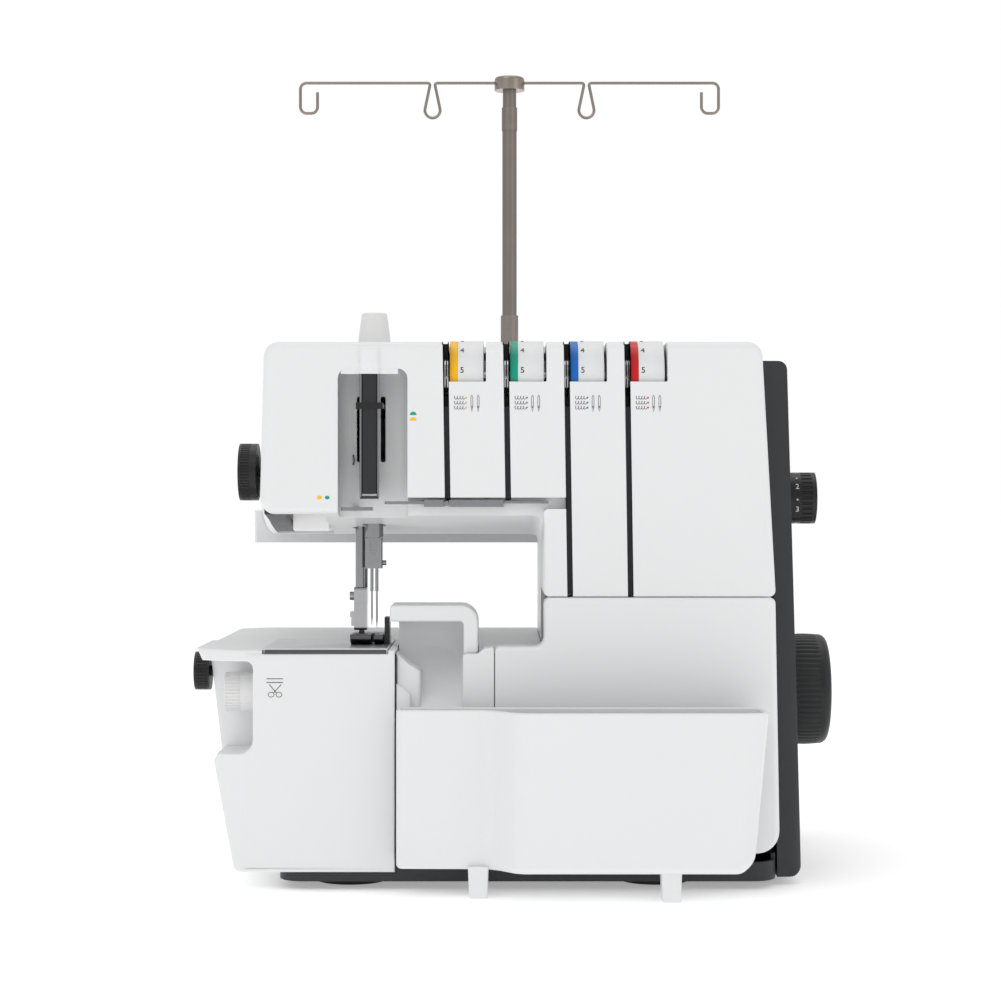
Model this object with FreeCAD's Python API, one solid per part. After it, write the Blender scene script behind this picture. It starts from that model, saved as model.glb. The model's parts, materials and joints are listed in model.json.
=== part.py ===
"""Overlock (serger) sewing machine: free-arm body, four-thread head, telescopic thread stand.

Millimetres, +Z up. X runs to the operator's right, Y away from the operator.
The origin is on the table under the middle of the machine. The sizes below are taken from a line a
little left of that middle, so every finished piece is moved across by middle_shift.
"""
import FreeCAD
import Part
import math
import os

V = FreeCAD.Vector
X_AXIS, Y_AXIS, Z_AXIS = V(1, 0, 0), V(0, 1, 0), V(0, 0, 1)

# ---------------------------------------------------------------- driving dimensions
front_y = -129.0            # front face of the covers
body_depth = 226.0          # front face to rear face
cover_depth = 92.0          # the front covers end here and the rear covers begin
top_z = 297.0
bed_z = 130.0               # sewing bed
seam_z = 159.0              # upper cover above, looper cover below
arm_z = 204.0               # lower front edge of the arm
arm_drop = 12.5             # the underside falls this much over the front cover's depth
cover_foot = 20.0           # lower edge of the lower covers
tray_z = 4.5                # underside of the base tray
wall = 2.5                  # shell thickness
gap = 0.4                   # between pieces that only stand next to each other
running = 0.05              # radial clearance of a shaft in its bush

head_left = -139.6          # left edge of the head at the top
head_left_low = -141.3      # and at the arm's lower edge
side_flare = 0.09           # the left side moves out this much per mm towards the back
right_top = 130.6           # right edge of the covers at the top
right_seam = 138.2          # at the seam
right_low = 140.4           # and at the foot
casing_top_z = 287.6
casing_top_x = 146.2        # right edge of the side casing at its top
casing_low_x = 154.6        # and at its foot
casing_front = 15.0         # the side casing begins this far behind the front face
throat_x = 12.5             # left face of the pillar
middle_shift = 1.85         # puts the middle of the overall width at X = 0

pocket = (-99.1, -61.3)     # needle-thread pocket in the head, left and right
pocket_top = 282.4
pocket_deep = 18.0
band_z, band_deep = 212.6, 8.0     # set-back band under the thread strips
band_low = 206.4            # lower edge of its narrow right end, which reaches the third slot
insert_x, lens_x = (-139.2, -128.2), (-127.4, -107.4)   # dark insert and lamp lens under the head

needle_x, needle_deep = -81.9, 50.0
needle_pitch = 2.8
needle_bar_r = 3.6
presser_x, presser_deep = -89.8, 62.0
presser_bar_r = 3.5
knob_x, knob_deep = -82.4, 60.0    # pressure knob on top of the head

shaft_deep, shaft_z, shaft_r = 110.0, 100.4, 6.0
belt_x, belt_w, belt_t = 122.0, 8.0, 2.0
pulley_r, motor_pulley_r = 28.0, 8.0
motor_deep, motor_z, motor_r = 165.0, 55.0, 27.0
motor_shaft_r = 3.0
wheel_r, wheel_x0, wheel_x1 = 32.4, 155.6, 179.9

slot_first, slot_pitch, slot_w = -42.4, 32.75, 3.1   # left edge of the first thread slot
slot_lean = 0.015           # the slots lean this much to the right going down
channel_top = 257.5
channel_side = 1.2          # wall of the dark channels behind the slots
dial_r, ring_w, drum_w = 20.0, 4.3, 14.1
dial_deep, dial_z = 22.9, 278.6
dial_low = 275.3            # lower edge of the dial windows
post_r = 3.0
COLOURS = ("yellow", "green", "blue", "red")

arm_left = -171.0           # left end of the free-arm cover at the front
arm_right = -68.2           # and its right edge
plate = (-139.6, -72.1)     # needle plate, left and right
plate_deep, plate_t, plate_top = 89.0, 3.0, 131.0
nook_x, nook_z, nook_deep = -146.2, (73.4, 123.3), 44.0    # dial recess in the free arm
hood_z, hood_x, hood_band = 153.0, (-71.4, -23.2), 8.0     # splash hood over the waste chute
hood_front, hood_back = 10.0, 45.0
cover_left, shelf_z = -14.0, 132.0  # looper cover: left edge, and top of its low left part
cover_flange = 14.0         # its flanges reach this far back
hinge_deep, hinge_z, hinge_r = 6.5, 26.0, 2.0
hinge_lugs, hinge_lug_w = (32.0, 98.0), 5.0
cover_slide = 7.0

collector = (-66.6, 130.6)  # waste collector at its rim, left and right
collector_top, collector_low = 99.7, 15.0
collector_deep = 42.0       # it stands this far in front of the covers on the right
collector_step = 22.0       # and this far on the left
collector_back = 4.0
leg_x, leg_w = (-22.8, 78.8), 10.6
leg_foot = 0.2              # the legs end this far above the table

stand_x, stand_z, stand_deep = (-168.0, 157.6), (184.2, 204.6), 74.0
mast_x, mast_deep = -5.2, 240.0
tube_r, tube_top = 5.65, 330.0
inner_r, inner_top = 4.65, 464.0
holder_top = 240.6          # of the cone holders
pin_shank_r = 3.4           # of the pin in the tray and in the cone holder
stem_r, cap_r, cap_z = 4.35, 9.65, (475.0, 483.6)
pin_pitch, pin_deep, pin_r, pin_top = 80.0, 268.0, 3.0, 305.0
wire_r, wire_z = 0.95, 480.0
loop_in, loop_out = 49.6, 134.7     # thread eyelets, from the mast
neck, drop_r, drop_low = 1.35, 4.9, 22.5     # inner eyelet: half its neck, its round foot and its drop
hook_w, hook_low, hook_r = 11.0, 19.5, 4.0   # end eyelet

clamp_z = (173.0, 190.0)
foot_pin = (67.0, 139.2)    # depth and height of the pin that the foot rocks about
lever_deep, lever_z, lever_pin_r = 130.0, 205.0, 3.0
screw_r = 3.0

frame_z = 18.0              # underside of the frame's base plate
arm_tube = (100.0, 140.0, 222.0, 266.0)   # depth and height of the frame's arm
guide_low, guide_high = (204.0, 212.0), (268.0, 275.0)
bush_r = 10.0
looper_pivots = {"upper_looper": (-38.0, 70.0), "lower_looper": (-58.0, 44.0)}   # x and height
looper_pin_r = 4.0
knob_pin_r = 3.0
dials = {                   # depth, height and radius of the four side knobs
    "differential_feed_dial": (60.0, 227.1, 16.1),
    "stitch_length_dial": (70.0, 212.4, 14.6),
    "knife_release_knob": (60.0, 114.7, 10.8),
    "cutting_width_dial": (30.0, 105.2, 10.8),
}
inlet_deep, inlet_z, inlet_w, inlet_h = 186.0, 60.0, 28.0, 20.0
switch_z, switch_w, switch_h = 96.0, 22.0, 28.0
foot_r, foot_plug_r = 21.5, 4.0

PARTS = "parts"
MADE = {}


# ---------------------------------------------------------------- small tools
def deep(d):
    """Y of a plane this far behind the front face."""
    return front_y + d


def block(x0, x1, d0, d1, z0, z1):
    """A box; d0 and d1 are depths behind the front face."""
    return Part.makeBox(x1 - x0, d1 - d0, z1 - z0, V(x0, deep(d0), z0))


def rod(radius, x, d, z, axis, length):
    """A cylinder that starts at x, depth d, z and runs along axis."""
    return Part.makeCylinder(radius, length, V(x, deep(d), z), axis)


def taper(r0, r1, x, d, z, axis, length):
    return Part.makeCone(r0, r1, length, V(x, deep(d), z), axis)


def pipe(outer, inner, x, d, z, axis, length):
    return rod(outer, x, d, z, axis, length).cut(rod(inner, x, d, z, axis, length))


def fuse(*shapes):
    """One clean solid from overlapping solids."""
    body = shapes[0]
    if len(shapes) > 1:
        body = body.fuse(list(shapes[1:]))
    return body.removeSplitter()


def outline(points, radii, place):
    """A closed wire through 2-D points with rounded corners; place turns (u, v) into a 3-D point."""
    count = len(points)
    if not isinstance(radii, (list, tuple)):
        radii = [radii] * count
    entries, exits, middles = [], [], []
    for i in range(count):
        p = V(points[i][0], points[i][1], 0)
        nxt = points[(i + 1) % count]
        to_last = (V(points[i - 1][0], points[i - 1][1], 0) - p).normalize()
        to_next = (V(nxt[0], nxt[1], 0) - p).normalize()
        half = to_last.getAngle(to_next) / 2
        r = radii[i]
        if r <= 0:
            entries.append(p)
            exits.append(p)
            middles.append(None)
            continue
        reach = r / math.tan(half)
        centre = p + (to_last + to_next).normalize() * (r / math.sin(half))
        entries.append(p + to_last * reach)
        exits.append(p + to_next * reach)
        middles.append(centre + (p - centre).normalize() * r)
    edges = []
    for i in range(count):
        a, b = entries[i], exits[i]
        if middles[i] is not None:
            arc = Part.Arc(place(a.x, a.y), place(middles[i].x, middles[i].y), place(b.x, b.y))
            edges.append(arc.toShape())
        c = entries[(i + 1) % count]
        if (c - b).Length > 1e-6:
            edges.append(Part.LineSegment(place(b.x, b.y), place(c.x, c.y)).toShape())
    return Part.Wire(edges)


def prism_y(points, radii, d0, d1):
    """A solid whose section square to Y is the rounded polygon of (x, z) points."""
    wire = outline(points, radii, lambda u, v: V(u, deep(d0), v))
    return Part.Face(wire).extrude(V(0, d1 - d0, 0))


def prism_z(points, radii, z0, z1):
    """A solid whose section square to Z is the rounded polygon of (x, depth) points."""
    wire = outline(points, radii, lambda u, v: V(u, deep(v), z0))
    return Part.Face(wire).extrude(V(0, 0, z1 - z0))


def prism_x(points, radii, x0, x1):
    """A solid whose section square to X is the rounded polygon of (depth, z) points."""
    wire = outline(points, radii, lambda u, v: V(x0, deep(u), v))
    return Part.Face(wire).extrude(V(x1 - x0, 0, 0))


def loft_y(points_a, points_b, radii, d0, d1):
    """A ruled solid between two rounded polygons of (x, z) points at two depths."""
    first = outline(points_a, radii, lambda u, v: V(u, deep(d0), v))
    second = outline(points_b, radii, lambda u, v: V(u, deep(d1), v))
    return Part.makeLoft([first, second], True, True)


def inset(points, distances):
    """The polygon with edge i, from point i to point i + 1, moved inwards by its distance."""
    count = len(points)
    if not isinstance(distances, (list, tuple)):
        distances = [distances] * count
    area = sum(points[i - 1][0] * points[i][1] - points[i][0] * points[i - 1][1] for i in range(count))
    turn = 1.0 if area > 0 else -1.0
    lines = []
    for i in range(count):
        (x0, y0), (x1, y1) = points[i], points[(i + 1) % count]
        length = math.hypot(x1 - x0, y1 - y0)
        dx, dy = (x1 - x0) / length, (y1 - y0) / length
        lines.append((x0 - dy * turn * distances[i], y0 + dx * turn * distances[i], dx, dy))
    moved = []
    for i in range(count):
        ax, ay, adx, ady = lines[i - 1]
        bx, by, bdx, bdy = lines[i]
        cross = adx * bdy - ady * bdx
        t = ((bx - ax) * bdy - (by - ay) * bdx) / cross
        moved.append((ax + adx * t, ay + ady * t))
    return moved


def bent_wire(points, radii, radius):
    """A round wire along 3-D points, with an arc of the given radius at each inner point."""
    edges = []
    last = V(*points[0])
    for i in range(1, len(points) - 1):
        p = V(*points[i])
        back = (V(*points[i - 1]) - p).normalize()
        on = (V(*points[i + 1]) - p).normalize()
        half = back.getAngle(on) / 2
        r = radii[i - 1]
        reach = r / math.tan(half)
        centre = p + (back + on).normalize() * (r / math.sin(half))
        start, end = p + back * reach, p + on * reach
        if (start - last).Length > 1e-6:
            edges.append(Part.LineSegment(last, start).toShape())
        edges.append(Part.Arc(start, centre + (p - centre).normalize() * r, end).toShape())
        last = end
    if (V(*points[-1]) - last).Length > 1e-6:
        edges.append(Part.LineSegment(last, V(*points[-1])).toShape())
    first = edges[0]
    along = first.tangentAt(first.FirstParameter)
    ring = Part.Wire(Part.makeCircle(radius, first.valueAt(first.FirstParameter), along))
    return Part.Wire(edges).makePipeShell([ring], True, False)


def ribbed(radius, x, d, z, length, ribs, rib_from, rib_to):
    """A knob barrel along +X with straight grooves over part of its length."""
    barrel = rod(radius, x, d, z, X_AXIS, length)
    groove_r = math.pi * radius / ribs / 2
    grooves = []
    for i in range(ribs):
        turn = 2 * math.pi * i / ribs
        centre = V(x + rib_from, deep(d) + radius * math.cos(turn), z + radius * math.sin(turn))
        grooves.append(Part.makeCylinder(groove_r, rib_to - rib_from, centre, X_AXIS))
    return barrel.cut(grooves)


def keep(name, *solids):
    """Notes a finished piece under its node name."""
    MADE[name] = list(solids)


def left_at(d, z):
    """X of the head's left side at this depth and height."""
    down = (top_z - z) / (top_z - arm_z)
    return head_left + (head_left_low - head_left) * down - side_flare * d


def right_at(z):
    """X of the covers' right side at this height."""
    if z >= seam_z:
        return right_top + (right_seam - right_top) * (top_z - z) / (top_z - seam_z)
    return right_seam + (right_low - right_seam) * (seam_z - z) / (seam_z - cover_foot)


def casing_at(z):
    """X of the side casing's outer face at this height."""
    return casing_top_x + (casing_low_x - casing_top_x) * (casing_top_z - z) / (casing_top_z - tray_z)


def slot_x(i, z):
    """Left edge of thread slot i at this height."""
    return slot_first + i * slot_pitch + slot_lean * (top_z - z)


def dial_x(i):
    """Left face of tension dial i: right beside its slot."""
    return slot_x(i, dial_z) + slot_w + gap


def slot_low(i):
    """Lower end of thread slot i: the left two stop at the band, the right two at the seam."""
    return band_z if i < 2 else seam_z


# ---------------------------------------------------------------- white covers
def upper_section(d):
    """Outline of the head, arm and upper pillar at this depth, counter-clockwise."""
    low = arm_z - arm_drop * d / cover_depth
    return [(left_at(d, low), low), (throat_x, low), (throat_x, seam_z), (right_seam, seam_z),
            (right_top, top_z), (left_at(d, top_z), top_z)]


UPPER_ROUNDS = [8.0, 6.0, 4.0, 0.0, 8.0, 7.0]


def pocket_solid(grow):
    """The pocket and the set-back band in the head, grown by this much."""
    x0, x1 = pocket[0] - grow, pocket[1] + grow
    tall = block(x0, x1, -1, pocket_deep + grow, arm_z - 30, pocket_top + grow)
    band = block(x1 - 1, throat_x + grow, -1, band_deep + grow, arm_z - 30, band_z + grow)
    end_x = slot_x(2, band_z) - channel_side - gap - wall + grow
    end = block(throat_x - 1, end_x, -1, band_deep + grow, band_low - grow, band_z + grow)
    return tall.fuse([band, end])


def front_cover():
    """Shell over the head, the arm and the upper pillar, with its thread slots and dial windows."""
    outer = loft_y(upper_section(0), upper_section(cover_depth), UPPER_ROUNDS, 0, cover_depth)
    sides = [wall, wall, -wall, wall, wall, wall]
    rounds = [max(r - wall, 0) for r in UPPER_ROUNDS]
    past = cover_depth + 1
    inner = loft_y(inset(upper_section(wall), sides), inset(upper_section(past), sides), rounds, wall, past)
    shell = outer.cut(pocket_solid(0)).cut(inner.cut(pocket_solid(wall)))
    # pillar wall carried down to the bed behind the looper cover
    skirt = block(throat_x, throat_x + wall, cover_flange + gap, cover_depth, bed_z + gap, seam_z + 1)
    # dome over the take-up guard
    dome = rod(5.1, needle_x, 2, 281, Z_AXIS, 9).fuse(Part.makeSphere(5.1, V(needle_x, deep(2), 290)))
    dome = dome.common(block(-200, 200, -4, pocket_deep, 270, top_z))
    shell = shell.fuse([skirt, dome.common(block(-200, 200, -4, wall, 270, top_z))])
    cuts = []
    for i in range(4):
        low, w = slot_low(i) - 1, slot_w
        corners = [(slot_x(i, low), low), (slot_x(i, low) + w, low),
                   (slot_x(i, top_z) + w, top_z + 1), (slot_x(i, top_z), top_z + 1)]
        cuts.append(prism_y(corners, 0, -1, band_deep + wall + 1))
        cuts.append(block(slot_x(i, dial_z), dial_x(i) + ring_w + drum_w + 1.4,
                          -1, dial_deep + dial_r + 2, dial_low, top_z + 1))
    # take-up arms, needle bar with its collar, presser bar, pressure screw, knob and dial shafts
    for side in (-1, 1):
        x = needle_x + side * 6.5
        cuts.append(block(x - 1.4, x + 1.4, pocket_deep - 1, pocket_deep + wall + 1, 230, 268))
    cuts.append(rod(6.5, needle_x, needle_deep, arm_z - 30, Z_AXIS, 40))
    cuts.append(rod(presser_bar_r + 1.5, presser_x, presser_deep, arm_z - 30, Z_AXIS, 40))
    cuts.append(rod(4.0, knob_x, knob_deep, top_z - 10, Z_AXIS, 20))
    for name, x in (("differential_feed_dial", head_left - 30), ("stitch_length_dial", right_top - 20)):
        d, z, r = dials[name]
        cuts.append(rod(knob_pin_r + 2, x, d, z, X_AXIS, 60))
    cuts.append(block(insert_x[0] - gap, insert_x[1] + gap, 3, 80, arm_z - 30, arm_z + 6))
    cuts.append(block(lens_x[0] - gap, lens_x[1] + gap, 47.6, 80.4, arm_z - 30, arm_z))
    keep("front_cover", shell.cut(cuts).removeSplitter())


def rear_cover():
    """Shell over the rear of the arm and the pillar."""
    low = arm_z - arm_drop
    d0 = cover_depth + gap

    def section(d):
        return [(left_at(d, low), low), (throat_x, low), (throat_x, cover_foot), (right_low, cover_foot),
                (right_seam, seam_z), (right_top, top_z), (left_at(d, top_z), top_z)]
    rounds = [8.0, 6.0, 0.0, 0.0, 0.0, 8.0, 7.0]
    outer = loft_y(section(d0), section(body_depth), rounds, d0, body_depth)
    sides = [wall, wall, -wall, wall, wall, wall, wall]
    inner_rounds = [max(r - wall, 0) for r in rounds]
    inner = loft_y(inset(section(d0 - 1), sides), inset(section(body_depth - wall), sides),
                   inner_rounds, d0 - 1, body_depth - wall)
    lever_slot = block(-98.5, -85.5, 118, 207, low - 5, low + 10)
    shaft_hole = rod(shaft_r + 3, right_low - 10, shaft_deep, shaft_z, X_AXIS, 20)
    below_bed = block(throat_x - 1, throat_x + wall + 1, d0 - 1, body_depth - wall, cover_foot - 1, bed_z - wall)
    keep("rear_cover", outer.cut(inner).cut([lever_slot, shaft_hole, below_bed]).removeSplitter())


def side_casing():
    """Dark casing over the belt side, from the covers' right face outwards."""
    d0, d1 = casing_front, body_depth - 1
    x_low, x_top = right_at(cover_foot) + gap, right_at(casing_top_z) + gap
    x_seam = right_at(seam_z) + gap
    section = [(x_low, tray_z), (casing_low_x, tray_z), (casing_top_x, casing_top_z),
               (x_top, casing_top_z), (x_seam, seam_z), (x_low, cover_foot)]
    rounds = [0, 6.0, 5.0, 0, 0, 0]
    outer = prism_y(section, rounds, d0, d1)
    plan = [(x_top - 20, d0 - 1), (casing_low_x + 1, d0 + 5), (casing_low_x + 1, d1 + 1), (x_top - 20, d1 + 1)]
    outer = outer.common(prism_z(plan, [0, 9.0, 0, 0], tray_z - 1, casing_top_z + 1))
    sides = [wall, wall, wall, -wall, -wall, -wall]
    inner = prism_y(inset(section, sides), [0, 3.5, 2.5, 0, 0, 0], d0 + wall, d1 - wall)
    inner_plan = inset(plan, [wall, wall, 0, 0])
    inner = inner.common(prism_z(inner_plan, [0, 6.5, 0, 0], tray_z - 1, casing_top_z + 1))
    dial_d, dial_height, dial_radius = dials["stitch_length_dial"]
    holes = [rod(shaft_r + 3, casing_low_x - 20, shaft_deep, shaft_z, X_AXIS, 40),
             rod(knob_pin_r + 2, casing_top_x - 20, dial_d, dial_height, X_AXIS, 40),
             block(casing_low_x - 15, casing_low_x + 5, inlet_deep - inlet_w / 2, inlet_deep + inlet_w / 2,
                   inlet_z - inlet_h / 2, inlet_z + inlet_h / 2),
             block(casing_low_x - 15, casing_low_x + 5, inlet_deep - switch_w / 2, inlet_deep + switch_w / 2,
                   switch_z - switch_h / 2, switch_z + switch_h / 2)]
    keep("side_casing", outer.cut(inner).cut(holes).removeSplitter())


def free_arm_cover():
    """White cover round the free arm: front, left side and bed top, with the dial nook."""
    section = [(-155.0, 9.9), (arm_right, 9.9), (arm_right, bed_z), (-178.0, bed_z), (-171.0, 121.0),
               (-164.8, 73.0), (-166.6, 66.5)]
    rounds = [0, 0, 0, 3.0, 0, 2.0, 2.0]
    plan = [(arm_right + 1, 0), (-150.0, 0), (-176.0, 22), (-178.5, cover_depth), (arm_right + 1, cover_depth)]
    outer = prism_y(section, rounds, 0, cover_depth)
    outer = outer.common(prism_z(plan, [0, 30, 14, 0, 0], 0, bed_z + 1))
    open_sides = [-wall, -wall, wall, wall, wall, wall, wall]
    inner = prism_y(inset(section, open_sides), 0, -1, cover_depth + 1)
    inner_plan = inset(plan, [wall, wall, wall, -wall, 0])
    inner = inner.common(prism_z(inner_plan, [0, 27, 11, 0, 0], 0, bed_z + 1))
    nook = block(-200, nook_x, -1, nook_deep, *nook_z)
    nook_grown = block(-200, nook_x + wall, -1, nook_deep + wall, nook_z[0] - wall, nook_z[1] + wall)
    shell = outer.cut(nook).cut(inner.cut(nook_grown))
    cuts = [block(plate[0] - gap, plate[1] + gap, -1, plate_deep + gap, bed_z - wall - 1, bed_z + 1)]
    for name, x in (("cutting_width_dial", nook_x - 10), ("knife_release_knob", arm_left - 19)):
        d, z, r = dials[name]
        cuts.append(rod(knob_pin_r + 1, x, d, z, X_AXIS, 30))
    keep("free_arm_cover", shell.cut(cuts).removeSplitter())


def bed_cover():
    """White cover over the rear of the bed, with the throat floor that runs up to the pillar."""
    d0, x0, x1 = cover_depth + gap, -177.5, throat_x - gap
    section = [(-158.0, 9.9), (x1, 9.9), (x1, bed_z), (x0, bed_z), (-171.0, 70.0)]
    plan = [(x1 + 1, d0), (x0 - 1, d0), (x0 - 1, body_depth), (x1 + 1, body_depth)]
    outer = prism_y(section, [0, 0, 0, 3, 0], d0, body_depth)
    outer = outer.common(prism_z(plan, [0, 0, 26, 0], 0, bed_z + 1))
    inner = prism_y(inset(section, [-wall, -wall, wall, wall, wall]), 0, d0 - 1, body_depth - wall)
    inner_plan = inset(plan, [-wall, wall, wall, 0])
    inner = inner.common(prism_z(inner_plan, [0, 0, 23.5, 0], 0, bed_z + 1))
    shell = outer.cut(inner)
    floor_left = block(arm_right + gap, hood_x[1] + 6, hood_back + gap, d0 + 1, bed_z - wall, bed_z)
    floor_right = block(hood_x[1] + gap, x1, cover_flange + gap, d0 + 1, bed_z - wall, bed_z)
    keep("bed_cover", fuse(shell, floor_left, floor_right))


def chute_guard():
    """White hood and slide beside the needle plate that lead trimmings into the collector."""
    x0, x1, x2 = arm_right + gap, hood_x[1], cover_left - gap
    low, inner_right = 30.0, hood_x[1] - hood_band
    deck = plate_top + 1.2             # the hood reaches left above the needle plate from here up
    hood = prism_y([(x0, low), (x1, low), (x1, hood_z), (hood_x[0], hood_z), (hood_x[0], deck), (x0, deck)],
                   [0, 0, 12, 0, 0, 0], hood_front, hood_back)
    panel = prism_z([(x0, 0), (x2, 0), (x2, 12), (x0, 12)], [0, 4, 0, 0], low, shelf_z)
    leg = block(inner_right, x1, 10, hood_back, low, shelf_z)
    beside_leg = block(x1 - 1, x2, 10, cover_flange, low, shelf_z)
    body = fuse(hood, panel, leg, beside_leg)
    # the slide falls towards the front and is open there
    slide = prism_x([(-5, 96.0), (3, 96.0), (hood_back - wall, 126.0), (hood_back - wall, hood_z - hood_band),
                     (-5, hood_z - hood_band)], [0, 10, 6, 6, 0], hood_x[0] - 1, inner_right)
    under = block(x0 - 1, inner_right, wall, hood_back + 1, low - 1, 90.0)
    beside = block(inner_right + wall, x2 - wall, wall, hood_back + 1, low - 1, shelf_z - wall)
    body = body.cut([slide, under, beside])
    rib = prism_x([(0.5, 90.0), (6.0, 90.0), (26.0, 108.0), (24.0, 118.0), (3, 104.0)], [0, 0, 3, 3, 3], x0, x0 + 6)
    keep("chute_guard", fuse(body, rib))


def looper_cover():
    """L-shaped front door over the loopers, with short flanges and lugs for its hinge rod."""
    x_right = right_at(seam_z) - 0.2
    section = [(cover_left, cover_foot), (right_low, cover_foot), (x_right, seam_z - gap),
               (throat_x, seam_z - gap), (throat_x, shelf_z), (cover_left, shelf_z)]
    outer = prism_y(section, [2, 12, 3, 3, 5, 2], 0, cover_flange)
    inner = prism_y(inset(section, wall), [0, 9.5, 0.5, 0.5, 7.5, 0], wall, cover_flange + 1)
    lugs = []
    for x in (10.0, 118.0):
        lugs.append(fuse(rod(hinge_r + 2, x, hinge_deep, hinge_z, X_AXIS, 8),
                         block(x, x + 8, 1, hinge_deep, hinge_z - 3, hinge_z + 3)))
    body = outer.cut(inner).fuse(lugs)
    cuts = [rod(hinge_r + running, 0, hinge_deep, hinge_z, X_AXIS, 140)]
    # gaps in the lower flange for the frame's hinge lugs, long enough for the sideways slide
    for x in hinge_lugs:
        cuts.append(block(x - cover_slide - 1, x + hinge_lug_w + 1, wall, cover_flange + 1, 0, hinge_z))
    keep("looper_cover", body.cut(cuts).removeSplitter())


def hinge_rod():
    """Steel rod that the looper cover tips about and slides along."""
    keep("hinge_rod", rod(hinge_r, 4, hinge_deep, hinge_z, X_AXIS, 126))


def waste_collector():
    """Removable tub in front of the covers, deeper on the right, standing on two legs."""
    x0, x1 = collector
    x_low = x1 - 7.8
    mid = -6.0
    plan = [(x0, -collector_back), (x0, -collector_step), (mid - 9, -collector_step - 3), (mid + 9, -collector_deep),
            (x1, -collector_deep), (x1, -collector_back)]
    rounds = [3, 5, 8, 8, 6, 3]
    side = [(x0, collector_low), (x_low, collector_low), (x1, collector_top), (x0, collector_top)]
    outer = prism_z(plan, rounds, collector_low, collector_top)
    outer = outer.common(prism_y(side, [3, 12, 0, 0], -collector_deep - 1, 0))
    inner = prism_z(inset(plan, wall), [0.5, 2.5, 10.5, 5.5, 3.5, 0.5], collector_low + wall, collector_top + 1)
    inner = inner.common(prism_y(inset(side, [wall, wall, -2, wall]), [0.5, 9.5, 0, 0], -collector_deep - 1, 0))
    legs = []
    for x, front in zip(leg_x, (-collector_step - 4, -collector_deep + 4)):
        legs.append(block(x - leg_w / 2, x + leg_w / 2, front, front + 14, leg_foot, collector_low + 1))
    keep("waste_collector", fuse(outer.cut(inner), *legs))


def base_tray():
    """Dark tray under everything; the frame stands on its pads."""
    x0, x1 = -131.7, right_low - 1
    plan = [(x0, 3), (x1, 3), (x1, body_depth - 4), (x0, body_depth - 4)]
    floor_t = 3.0
    outer = prism_z(plan, 14, tray_z, frame_z)
    inner = prism_z(inset(plan, wall), 11.5, tray_z + floor_t, frame_z + 1)
    pads = [rod(12, x, d, tray_z + 1, Z_AXIS, frame_z - tray_z - 1) for x, d in feet_places()]
    holes = [rod(foot_plug_r, x, d, tray_z - 1, Z_AXIS, 8) for x, d in feet_places()]
    # the front wall is lower where the looper cover's foot swings through
    holes.append(block(cover_left - 3, x1 + 1, 0, 16, 15.0, frame_z + 1))
    keep("base_tray", fuse(outer.cut(inner), *pads).cut(holes).removeSplitter())


def feet_places():
    """Where the four feet stand: x and depth."""
    return [(x, d) for x in (-93.8, 74.6) for d in (38.5, 190.0)]


def rubber_feet():
    feet = []
    for x, d in feet_places():
        disc = taper(foot_r - 1.5, foot_r, x, d, 0, Z_AXIS, tray_z)
        feet.append(fuse(disc, rod(foot_plug_r, x, d, tray_z - 1, Z_AXIS, 6)))
    keep("rubber_feet", *feet)


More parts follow.
